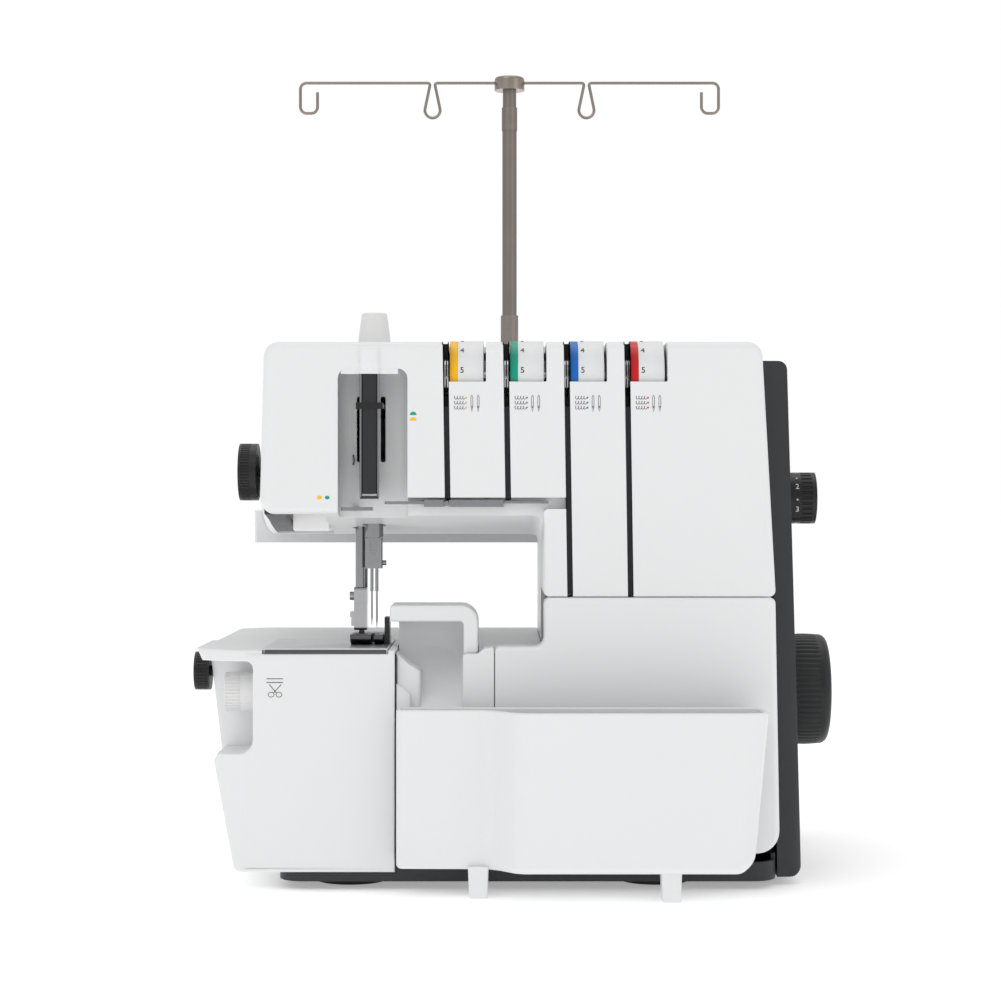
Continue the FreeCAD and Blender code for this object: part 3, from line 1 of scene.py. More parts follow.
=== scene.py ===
import json
import math
import bmesh
import bpy
import numpy as np
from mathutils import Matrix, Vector

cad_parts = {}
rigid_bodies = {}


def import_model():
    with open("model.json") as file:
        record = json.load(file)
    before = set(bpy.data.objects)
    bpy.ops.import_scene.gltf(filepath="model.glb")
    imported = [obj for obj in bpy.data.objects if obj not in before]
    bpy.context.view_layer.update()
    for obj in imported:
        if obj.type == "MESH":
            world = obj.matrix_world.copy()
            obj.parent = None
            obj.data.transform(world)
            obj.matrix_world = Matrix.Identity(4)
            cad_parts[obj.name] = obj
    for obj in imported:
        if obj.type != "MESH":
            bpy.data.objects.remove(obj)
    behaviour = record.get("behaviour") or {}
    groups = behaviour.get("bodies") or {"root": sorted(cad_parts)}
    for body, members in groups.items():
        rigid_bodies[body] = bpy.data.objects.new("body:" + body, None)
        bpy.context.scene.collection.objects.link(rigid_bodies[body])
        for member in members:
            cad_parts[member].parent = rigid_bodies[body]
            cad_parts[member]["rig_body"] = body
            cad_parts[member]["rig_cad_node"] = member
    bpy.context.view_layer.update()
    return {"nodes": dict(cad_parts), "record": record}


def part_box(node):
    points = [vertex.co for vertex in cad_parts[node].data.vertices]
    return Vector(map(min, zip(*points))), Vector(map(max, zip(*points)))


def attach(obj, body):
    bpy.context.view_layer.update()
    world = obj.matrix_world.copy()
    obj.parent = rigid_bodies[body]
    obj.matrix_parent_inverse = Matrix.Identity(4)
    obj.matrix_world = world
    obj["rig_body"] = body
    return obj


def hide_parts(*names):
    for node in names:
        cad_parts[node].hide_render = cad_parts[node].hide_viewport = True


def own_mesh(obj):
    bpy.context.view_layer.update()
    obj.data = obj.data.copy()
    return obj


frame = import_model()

nodes = frame["nodes"]
front = -129.0          # front face of the covers, mm; depths below are counted from it


# small node tools

def link(tree, start, end):
    tree.links.new(start, end)


def node(tree, kind, **values):
    # adds a node and sets its plain settings and its numbered or named inputs
    made = tree.nodes.new(kind)
    for key, value in values.items():
        if key.startswith("in_"):
            made.inputs[key[3:].replace("_", " ")].default_value = value
        else:
            setattr(made, key, value)
    return made


def newGroup(name, inputs, outputs):
    group = bpy.data.node_groups.new(name, "ShaderNodeTree")
    for label, kind, value in inputs:
        made = group.interface.new_socket(name=label, in_out="INPUT", socket_type=kind)
        made.default_value = value
    for label, kind in outputs:
        group.interface.new_socket(name=label, in_out="OUTPUT", socket_type=kind)
    return group, group.nodes.new("NodeGroupInput"), group.nodes.new("NodeGroupOutput")


def maths(tree, operation, first, second=None, third=None):
    made = node(tree, "ShaderNodeMath", operation=operation)
    for k, value in enumerate((first, second, third)):
        if value is None:
            continue
        if isinstance(value, (int, float)):
            made.inputs[k].default_value = value
        else:
            link(tree, value, made.inputs[k])
    return made.outputs[0]


# shared effects

def makeMouldGrain():
    # fine spark-eroded grain over slow waviness: height, and a mask for gloss
    group, start, end = newGroup("mouldGrain", [
        ("Grain", "NodeSocketFloat", 2600.0), ("Waviness", "NodeSocketFloat", 18.0),
        ("Grain Share", "NodeSocketFloat", 0.6)],
        [("Height", "NodeSocketFloat"), ("Mask", "NodeSocketFloat")])
    where = node(group, "ShaderNodeTexCoord")
    grain = node(group, "ShaderNodeTexNoise", in_Detail=3.0, in_Roughness=0.6)
    wave = node(group, "ShaderNodeTexNoise", in_Detail=2.0, in_Roughness=0.5)
    for texture, size in ((grain, "Grain"), (wave, "Waviness")):
        link(group, where.outputs["Object"], texture.inputs["Vector"])
        link(group, start.outputs[size], texture.inputs["Scale"])
    mixed = node(group, "ShaderNodeMix", data_type="FLOAT")
    link(group, start.outputs["Grain Share"], mixed.inputs[0])
    link(group, wave.outputs[0], mixed.inputs[2])
    link(group, grain.outputs[0], mixed.inputs[3])
    link(group, mixed.outputs[0], end.inputs["Height"])
    link(group, wave.outputs[0], end.inputs["Mask"])
    return group


def makeBrushed():
    # streaks drawn out along one axis: height, and a mask for roughness
    group, start, end = newGroup("brushed", [
        ("Stretch", "NodeSocketVector", (1.0, 1.0, 1.0)), ("Scale", "NodeSocketFloat", 900.0)],
        [("Height", "NodeSocketFloat"), ("Mask", "NodeSocketFloat")])
    where = node(group, "ShaderNodeTexCoord")
    mapping = node(group, "ShaderNodeMapping")
    link(group, where.outputs["Object"], mapping.inputs["Vector"])
    link(group, start.outputs["Stretch"], mapping.inputs["Scale"])
    fine = node(group, "ShaderNodeTexNoise", in_Detail=4.0, in_Roughness=0.65)
    link(group, mapping.outputs[0], fine.inputs["Vector"])
    link(group, start.outputs["Scale"], fine.inputs["Scale"])
    broad = node(group, "ShaderNodeTexNoise", in_Scale=60.0, in_Detail=2.0)
    link(group, where.outputs["Object"], broad.inputs["Vector"])
    link(group, fine.outputs[0], end.inputs["Height"])
    link(group, maths(group, "MULTIPLY", fine.outputs[0], broad.outputs[0]), end.inputs["Mask"])
    return group


def makeEdgeWear():
    # a mask of the outer edges, broken up by noise
    group, start, end = newGroup("edgeWear", [("Amount", "NodeSocketFloat", 0.5)],
                                 [("Mask", "NodeSocketFloat")])
    shape = node(group, "ShaderNodeNewGeometry")
    where = node(group, "ShaderNodeTexCoord")
    patches = node(group, "ShaderNodeTexNoise", in_Scale=140.0, in_Detail=5.0)
    link(group, where.outputs["Object"], patches.inputs["Vector"])
    edge = node(group, "ShaderNodeMapRange", in_From_Min=0.53, in_From_Max=0.62)
    link(group, shape.outputs["Pointiness"], edge.inputs["Value"])
    broken = maths(group, "MULTIPLY", edge.outputs[0], patches.outputs[0])
    link(group, maths(group, "MULTIPLY", broken, start.outputs["Amount"]), end.inputs["Mask"])
    return group


def makeDust():
    # a thin veil on faces that look upwards, in drifting patches
    group, start, end = newGroup("dust", [("Amount", "NodeSocketFloat", 0.2)],
                                 [("Mask", "NodeSocketFloat")])
    shape = node(group, "ShaderNodeNewGeometry")
    split = node(group, "ShaderNodeSeparateXYZ")
    link(group, shape.outputs["Normal"], split.inputs[0])
    where = node(group, "ShaderNodeTexCoord")
    drift = node(group, "ShaderNodeTexNoise", in_Scale=35.0, in_Detail=6.0, in_Roughness=0.7)
    link(group, where.outputs["Object"], drift.inputs["Vector"])
    upward = node(group, "ShaderNodeMapRange", in_From_Min=0.3, in_From_Max=1.0)
    link(group, split.outputs["Z"], upward.inputs["Value"])
    veil = maths(group, "MULTIPLY", upward.outputs[0], drift.outputs[0])
    link(group, maths(group, "MULTIPLY", veil, start.outputs["Amount"]), end.inputs["Mask"])
    return group


mouldGrain, brushed, edgeWear, dust = makeMouldGrain(), makeBrushed(), makeEdgeWear(), makeDust()


def useGroup(tree, group, **values):
    made = tree.nodes.new("ShaderNodeGroup")
    made.node_tree = group
    for key, value in values.items():
        made.inputs[key.replace("_", " ")].default_value = value
    return made


def mixColour(tree, mask, first, second):
    # first where the mask is 0, second where it is 1; each is a colour or an output
    made = node(tree, "ShaderNodeMix", data_type="RGBA")
    link(tree, mask, made.inputs[0])
    for k, value in ((6, first), (7, second)):
        if isinstance(value, tuple):
            made.inputs[k].default_value = (*value, 1.0)
        else:
            link(tree, value, made.inputs[k])
    return made.outputs[2]


def startFinish(name):
    made = bpy.data.materials.new(name)
    made.use_nodes = True
    return made, made.node_tree, made.node_tree.nodes["Principled BSDF"]


def plastic(name, colour, roughness=0.36, grain=2600.0, bump=0.012, wear=0.25, dusty=0.05, shade=0.93,
            coat=0.0, glow=0.0):
    # moulded plastic: two close shades, grain in the height, slightly polished edges, a little dust
    made, tree, shader = startFinish(name)
    skin = useGroup(tree, mouldGrain, Grain=grain)
    worn = useGroup(tree, edgeWear, Amount=wear)
    veil = useGroup(tree, dust, Amount=dusty)
    darker = tuple(c * shade for c in colour)
    lighter = tuple(min(1.0, c * 1.06 + 0.01) for c in colour)
    base = mixColour(tree, skin.outputs["Mask"], darker, colour)
    base = mixColour(tree, worn.outputs["Mask"], base, lighter)
    base = mixColour(tree, veil.outputs["Mask"], base, (0.62, 0.61, 0.58))
    link(tree, base, shader.inputs["Base Color"])
    gloss = node(tree, "ShaderNodeMapRange", in_To_Min=roughness - 0.05, in_To_Max=roughness + 0.06)
    link(tree, skin.outputs["Mask"], gloss.inputs["Value"])
    link(tree, maths(tree, "SUBTRACT", gloss.outputs[0], worn.outputs["Mask"]), shader.inputs["Roughness"])
    relief = node(tree, "ShaderNodeBump", in_Strength=0.5, in_Distance=bump * 0.001)
    link(tree, skin.outputs["Height"], relief.inputs["Height"])
    link(tree, relief.outputs[0], shader.inputs["Normal"])
    shader.inputs["Specular IOR Level"].default_value = 0.35
    shader.inputs["Coat Weight"].default_value = coat
    shader.inputs["Coat Roughness"].default_value = 0.12
    if glow:
        shader.inputs["Emission Color"].default_value = (1.0, 0.97, 0.9, 1.0)
        shader.inputs["Emission Strength"].default_value = glow
    return made


def metal(name, colour, roughness=0.28, stretch=(1.0, 1.0, 30.0), scale=900.0, bump=0.006, wear=0.5,
          dark=0.72, spread=0.16):
    # brushed or ground metal: streaks in height, gloss and tone, brighter worn edges
    made, tree, shader = startFinish(name)
    streaks = useGroup(tree, brushed, Stretch=stretch, Scale=scale)
    worn = useGroup(tree, edgeWear, Amount=wear)
    base = mixColour(tree, streaks.outputs["Mask"], tuple(c * dark for c in colour), colour)
    base = mixColour(tree, worn.outputs["Mask"], base, tuple(min(1.0, c * 1.25 + 0.03) for c in colour))
    link(tree, base, shader.inputs["Base Color"])
    gloss = node(tree, "ShaderNodeMapRange", in_To_Min=max(0.03, roughness - spread / 2),
                 in_To_Max=roughness + spread / 2)
    link(tree, streaks.outputs["Height"], gloss.inputs["Value"])
    link(tree, gloss.outputs[0], shader.inputs["Roughness"])
    relief = node(tree, "ShaderNodeBump", in_Strength=0.4, in_Distance=bump * 0.001)
    link(tree, streaks.outputs["Height"], relief.inputs["Height"])
    link(tree, relief.outputs[0], shader.inputs["Normal"])
    shader.inputs["Metallic"].default_value = 1.0
    return made


finishes = {
    "white_plastic": plastic("whiteShell", (0.80, 0.805, 0.81), 0.34, shade=0.985, wear=0.05, dusty=0.008),
    "knob_white": plastic("knobWhite", (0.80, 0.80, 0.795), 0.32, shade=0.97),
    "dial_white": plastic("drumWhite", (0.78, 0.785, 0.79), 0.42, shade=0.97, grain=3600.0),
    "dark_plastic": plastic("casingGrey", (0.030, 0.032, 0.034), 0.46, grain=1500.0, bump=0.03, shade=0.86),
    "wheel_plastic": plastic("wheelGrey", (0.019, 0.020, 0.022), 0.40, grain=1700.0, bump=0.02, shade=0.8),
    "black_plastic": plastic("blackMoulding", (0.012, 0.012, 0.013), 0.34, grain=2000.0, shade=0.8),
    "foot_rubber": plastic("footRubber", (0.016, 0.016, 0.017), 0.72, grain=1300.0, bump=0.05, dusty=0.2),
    "belt_rubber": plastic("beltRubber", (0.014, 0.014, 0.015), 0.62, grain=1200.0, bump=0.05, dusty=0.1),
    "channel_plastic": plastic("channelGrey", (0.10, 0.108, 0.125), 0.5, grain=1900.0, shade=0.85),
    "guard_gloss": plastic("guardBlack", (0.010, 0.011, 0.013), 0.12, grain=900.0, bump=0.003, coat=0.5),
    "lamp_diffuser": plastic("lampLens", (0.82, 0.83, 0.84), 0.22, grain=500.0, bump=0.01, glow=0.15),
    "cone_plastic": plastic("coneGrey", (0.20, 0.21, 0.22), 0.4, grain=1500.0),
    "ring_yellow": plastic("ringYellow", (1.0, 0.52, 0.004), 0.30, shade=0.93),
    "ring_green": plastic("ringGreen", (0.0, 0.36, 0.24), 0.30, shade=0.9),
    "ring_blue": plastic("ringBlue", (0.0, 0.15, 0.56), 0.30, shade=0.9),
    "ring_red": plastic("ringRed", (0.66, 0.006, 0.008), 0.30, shade=0.9),
    "cast_frame": metal("castFrame", (0.46, 0.47, 0.48), 0.55, (1.0, 1.0, 1.0), 320.0, 0.12, 0.7, 0.6, 0.2),
    "plate_steel": metal("plateSteel", (0.86, 0.86, 0.87), 0.34, (40.0, 1.0, 1.0), 700.0),
    "knife_steel": metal("knifeSteel", (0.50, 0.50, 0.51), 0.22, (1.0, 30.0, 1.0), 900.0),
    "motor_steel": metal("motorSteel", (0.42, 0.43, 0.44), 0.35, (1.0, 20.0, 20.0), 500.0),
    "bush_bronze": metal("bushBronze", (0.55, 0.36, 0.17), 0.38, (1.0, 25.0, 25.0), 600.0),
    "bright_steel": metal("groundSteel", (0.46, 0.46, 0.47), 0.16, (1.0, 1.0, 30.0), 1200.0, 0.002),
    "spring_steel": metal("springSteel", (0.40, 0.40, 0.42), 0.3, (1.0, 1.0, 1.0), 800.0),
    "foot_steel": metal("footSteel", (0.13, 0.13, 0.135), 0.30, (20.0, 1.0, 1.0), 900.0),
    "mast_steel": metal("mastSteel", (0.30, 0.26, 0.235), 0.34, (25.0, 25.0, 1.0), 350.0, 0.004),
    "yoke_wire": metal("yokeWire", (0.38, 0.33, 0.29), 0.24, (1.0, 1.0, 1.0), 700.0),
    # the chrome's base is darkened to stand in for the dark surroundings it reflects: a painted dark reflection
    "bright_chrome": metal("brightChrome", (0.30, 0.305, 0.315), 0.12, (1.0, 1.0, 1.0), 300.0,
                           0.001, 0.2, 0.9, 0.08),
}
print("finishes made")

slotOf = {row["node"]: row["material_slot"] for row in frame["record"]["subparts"]}
for name, thing in nodes.items():
    thing.data.materials.clear()
    thing.data.materials.append(finishes[slotOf[name]])
print("carried-over parts dressed")


# shape tools: every point is (x, depth behind the front face, z) in mm

shift = 1.85            # the sizes below are counted from a line this far left of the row's middle


def orient(points, faces):
    # turns a closed shape so that its faces point outwards, from the sign of its volume
    volume = 0.0
    for face in faces:
        corner = points[list(face)]
        fan = np.cross(corner[1:-1] - corner[0], corner[2:] - corner[0])
        volume += float((fan * corner[0]).sum())
    # depth runs the same way as Y, so the handedness is that of the row frame
    return (points, faces) if volume > 0 else (points, [tuple(reversed(f)) for f in faces])


def joinShapes(shapes):
    base, faces = 0, []
    for points, some in shapes:
        faces += [tuple(i + base for i in f) for f in some]
        base += len(points)
    return np.vstack([s[0] for s in shapes]), faces


def roundCorners(corners, steps=6):
    # corners: (u, v, corner radius, rounding of the edge that follows).
    # Returns the points, with the rounding before and after each.
    places, before, after = [], [], []
    count = len(corners)
    flat = np.array([c[:2] for c in corners], float)
    area = (flat[:, 0] * np.roll(flat[:, 1], -1) - np.roll(flat[:, 0], -1) * flat[:, 1]).sum()
    for k, (u, v, radius, rounding) in enumerate(corners):
        last = corners[k - 1][3]
        here, back, on = flat[k], flat[k - 1] - flat[k], flat[(k + 1) % count] - flat[k]
        # an outer corner is never tighter than the roundings beside it
        if radius > 0 and (on[0] * back[1] - on[1] * back[0]) * area > 0:
            radius = max(radius, last + 0.4, rounding + 0.4)
        back, on = back / np.linalg.norm(back), on / np.linalg.norm(on)
        if radius <= 0:
            places.append(here)
            before.append(last)
            after.append(rounding)
            continue
        half = math.acos(max(-1.0, min(1.0, float(back @ on)))) / 2
        reach = radius / math.tan(half)
        centre = here + (back + on) / np.linalg.norm(back + on) * radius / math.sin(half)
        first, final = here + back * reach - centre, here + on * reach - centre
        turn = math.atan2(first[0] * final[1] - first[1] * final[0], float(first @ final))
        for t in np.linspace(0, 1, steps + 1):
            c, s = math.cos(turn * t), math.sin(turn * t)
            places.append(centre + (c * first[0] - s * first[1], s * first[0] + c * first[1]))
            before.append(last + (rounding - last) * t)
            after.append(last + (rounding - last) * t)
    return np.array(places), np.array(before), np.array(after)


def inwards(places, before, after):
    # every point moved in by its edges' two distances
    along = np.roll(places, -1, 0) - places
    along /= np.linalg.norm(along, axis=1)[:, None]
    area = (places[:, 0] * np.roll(places[:, 1], -1) - np.roll(places[:, 0], -1) * places[:, 1]).sum()
    second = np.stack([-along[:, 1], along[:, 0]], 1) * (1.0 if area > 0 else -1.0)
    first = np.roll(second, 1, 0)
    cross = first[:, 0] * second[:, 1] - first[:, 1] * second[:, 0]
    mean = first + second
    mean /= np.maximum(np.linalg.norm(mean, axis=1), 1e-9)[:, None]
    easy = mean * ((before + after) / 2 / np.maximum((mean * first).sum(1), 0.3))[:, None]
    safe = np.where(np.abs(cross) < 0.25, 1.0, cross)
    exact = np.stack([(before * second[:, 1] - after * first[:, 1]) / safe,
                      (after * first[:, 0] - before * second[:, 0]) / safe], 1)
    return places + np.where((np.abs(cross) < 0.25)[:, None], easy, exact)


def stack(loops, capFirst=True, capLast=True):
    # closed loops of equal length, one behind the other, joined by quads
    loops = np.array(loops)
    m, n = loops.shape[:2]
    i, j = np.meshgrid(np.arange(m - 1), np.arange(n), indexing="ij")
    k = (j + 1) % n
    faces = np.stack([i * n + j, (i + 1) * n + j, (i + 1) * n + k, i * n + k], -1).reshape(-1, 4).tolist()
    faces = [tuple(f) for f in faces]
    if capFirst:
        faces.append(tuple(range(n)))
    if capLast:
        faces.append(tuple(reversed(range((m - 1) * n, m * n))))
    return loops.reshape(-1, 3), faces


def slab(corners, start, end, facing="front", endRound=0.0, wall=0.0, rim=0.0, bend=None, steps=6, curve=5):
    # a plate with a rounded outline; its start side has quarter-round edges, each of its own radius.
    # Facing front, the outline is (x, z) and start and end are depths. Facing below, it is (x, depth)
    # and they are heights. With a wall it is a shell that is open at its end.
    places, before, after = roundCorners(corners, steps)
    way = 1.0 if end > start else -1.0
    loops = []

    def level(before, after, height):
        flat = inwards(places, before, after)
        across = np.broadcast_to(height, (len(places),))
        if facing == "front":
            return np.stack([flat[:, 0], across, flat[:, 1]], 1)
        return np.stack([flat[:, 0], flat[:, 1], across], 1)
    mean = (before + after) / 2
    loops.append(level(before + 0.35, after + 0.35, start))
    for t in np.linspace(0, math.pi / 2, curve + 1):
        keep = 1 - math.sin(t)
        loops.append(level(before * keep, after * keep, start + way * mean * (1 - math.cos(t))))
    zero = np.zeros(len(places))
    if wall:
        rim = min(rim, wall / 2 - 0.05)
        for t in np.linspace(0, math.pi, 2 * curve + 1) if rim else (0, math.pi):
            inset = (wall / 2 - rim) * (1 if t > math.pi / 2 else 0) * 2 + rim * (1 - math.cos(t)) if rim else \
                (wall if t else 0)
            loops.append(level(zero + inset, zero + inset, end - way * rim * (1 - math.sin(t))))
        for t in np.linspace(math.pi / 2, 0, curve + 1):
            keep = 1 - math.sin(t)
            loops.append(level(before * keep + wall, after * keep + wall,
                               start + way * (wall + mean * (1 - math.cos(t)))))
        shape = stack(loops)
    else:
        if endRound:
            for t in np.linspace(math.pi / 2, 0, curve + 1):
                keep = endRound * (1 - math.sin(t))
                loops.append(level(zero + keep, zero + keep, end - way * endRound * (1 - math.cos(t))))
            loops.append(level(zero + endRound + 0.35, zero + endRound + 0.35, end))
        else:
            loops.append(level(zero, zero, end))
        shape = stack(loops)
    points, faces = shape
    if bend is not None:
        points = bend(points)
    return orient(points, faces)


def sliced(shape, cuts):
    # the same shape with its faces split at the given x, so that it can bend there
    work = bmesh.new()
    made = [work.verts.new(p) for p in shape[0]]
    for face in shape[1]:
        work.faces.new([made[i] for i in face])
    for x in cuts:
        bmesh.ops.bisect_plane(work, geom=work.verts[:] + work.edges[:] + work.faces[:], dist=1e-4,
                               plane_co=(x, 0, 0), plane_no=(1, 0, 0))
    work.verts.index_update()
    points = np.array([v.co[:] for v in work.verts])
    faces = [tuple(v.index for v in f.verts) for f in work.faces]
    work.free()
    return points, faces


def blockShape(x0, x1, d0, d1, z0, z1, corner=0.0, rounding=0.4):
    # a small plate whose outline and edges are softened
    return slab([(x0, z0, corner, rounding), (x1, z0, corner, rounding), (x1, z1, corner, rounding),
                 (x0, z1, corner, rounding)], d0, d1, endRound=rounding * 0.8, steps=4, curve=2)


def lathe(profile, centre, axis="x", around=96, ripple=None):
    # profile (along, radius) turned about an axis through centre.
    # ripple(angle, along, radius) returns the changed radius
    profile = np.array(profile, float)
    angle = np.linspace(0, 2 * math.pi, around, endpoint=False)
    along, radius = np.meshgrid(profile[:, 0], angle, indexing="ij")[0], \
        np.broadcast_to(profile[:, 1][:, None], (len(profile), around)).copy()
    turn = np.broadcast_to(angle, radius.shape)
    if ripple is not None:
        radius = ripple(turn, along, radius)
    u, v = radius * np.cos(turn), radius * np.sin(turn)
    if axis == "x":
        grid = np.stack([along, centre[1] + u, centre[2] + v], -1)
    elif axis == "z":
        grid = np.stack([centre[0] + u, centre[1] + v, along], -1)
    else:
        grid = np.stack([centre[0] + u, along, centre[2] + v], -1)
    return orient(*stack(grid))


def tube(path, radius, around=12):
    # a round wire along a path of points, its section carried without twisting
    path = np.array(path, float)
    ahead = np.gradient(path, axis=0)
    ahead /= np.linalg.norm(ahead, axis=1)[:, None]
    side = np.cross(ahead[0], (0.31, 0.52, 0.79))
    rings = []
    angle = np.linspace(0, 2 * math.pi, around, endpoint=False)
    for place, way in zip(path, ahead):
        side = side - way * (side @ way)
        side /= np.linalg.norm(side)
        up = np.cross(way, side)
        rings.append(place + radius * (np.cos(angle)[:, None] * side + np.sin(angle)[:, None] * up))
    return orient(*stack(rings))


def sheetSolid(front, back):
    # a closed solid between two grids of points of the same size
    m, n = front.shape[:2]
    i, j = np.meshgrid(np.arange(m - 1), np.arange(n - 1), indexing="ij")
    a = (i * n + j).ravel()
    quads = np.stack([a, a + 1, a + n + 1, a + n], 1)
    faces = [tuple(q) for q in quads.tolist()] + [tuple(reversed(q)) for q in (quads + m * n).tolist()]
    rim = [(0, j) for j in range(n)] + [(i, n - 1) for i in range(1, m)] + \
        [(m - 1, j) for j in range(n - 2, -1, -1)] + [(i, 0) for i in range(m - 2, 0, -1)]
    ids = [i * n + j for i, j in rim]
    for k, first in enumerate(ids):
        second = ids[(k + 1) % len(ids)]
        faces.append((second, first, first + m * n, second + m * n))
    return orient(np.vstack([front.reshape(-1, 3), back.reshape(-1, 3)]), faces)


def newObject(name, shape, finish=None):
    points, faces = shape
    placed = points * 0.001 + np.array([shift * 0.001, front * 0.001, 0.0])
    mesh = bpy.data.meshes.new(name)
    mesh.from_pydata(placed.tolist(), [], faces)
    work = bmesh.new()
    work.from_mesh(mesh)
    bmesh.ops.remove_doubles(work, verts=work.verts, dist=2e-6)
    bmesh.ops.dissolve_degenerate(work, edges=work.edges, dist=2e-6)
    work.to_mesh(mesh)
    work.free()
    made = bpy.data.objects.new(name, mesh)
    bpy.context.scene.collection.objects.link(made)
    if finish:
        mesh.materials.append(finishes[finish])
    return made


def settle(made, angle=38.0):
    # modifiers applied, smooth faces with sharp edges kept
    view = bpy.context.evaluated_depsgraph_get()
    mesh = bpy.data.meshes.new_from_object(made.evaluated_get(view))
    made.modifiers.clear()
    made.data = mesh
    mesh.shade_smooth()
    mesh.set_sharp_from_angle(angle=math.radians(angle))
    return made


def carve(made, cutters):
    tools = []
    for shape in cutters:
        tool = newObject("cutter", shape)
        tools.append(tool)
        change = made.modifiers.new("cut", "BOOLEAN")
        change.object, change.operation, change.solver = tool, "DIFFERENCE", "EXACT"
        settle(made)
        if not len(made.data.polygons):
            raise RuntimeError(made.name + " was cut away")
    for tool in tools:
        bpy.data.objects.remove(tool)
    return made


def soften(made, width, angle=48.0, segments=2):
    change = made.modifiers.new("soft", "BEVEL")
    change.width, change.segments, change.limit_method = width * 0.001, segments, "ANGLE"
    change.angle_limit = math.radians(angle)
    change.harden_normals = False
    return settle(made)


def dress(made, body, replaced=()):
    even = made.modifiers.new("even", "WEIGHTED_NORMAL")
    even.keep_sharp = True
    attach(made, body)
    if replaced:
        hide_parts(*replaced)
    return made


def addPiece(name, shapes, slotName, body="machine", replaced=(), cutters=(), width=0.0, angle=38.0):
    made = newObject(name, joinShapes(shapes), slotName)
    if len(cutters):
        carve(made, cutters)
    if width:
        soften(made, width)
    settle(made, angle)
    return dress(made, body, replaced)


def softenNode(name, body, width, angle=40.0):
    # a copy of a carried-over part with its sharp edges rounded
    copy = nodes[name].copy()
    copy.data = nodes[name].data.copy()
    copy.parent = None
    copy.name = name + "_soft"
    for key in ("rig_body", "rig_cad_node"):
        if key in copy:
            del copy[key]
    bpy.context.scene.collection.objects.link(copy)
    work = bmesh.new()
    work.from_mesh(copy.data)
    bmesh.ops.remove_doubles(work, verts=work.verts, dist=1e-6)
    bmesh.ops.dissolve_limit(work, angle_limit=math.radians(1.0), verts=work.verts, edges=work.edges)
    work.to_mesh(copy.data)
    work.free()
    soften(copy, width, angle)
    dress(copy, body, (name,))
    return copy


# covers: every size below is in mm

def slotLeft(i, z, first=-42.4, pitch=32.75, lean=0.015, top=297.0):
    return first + i * pitch + lean * (top - z)


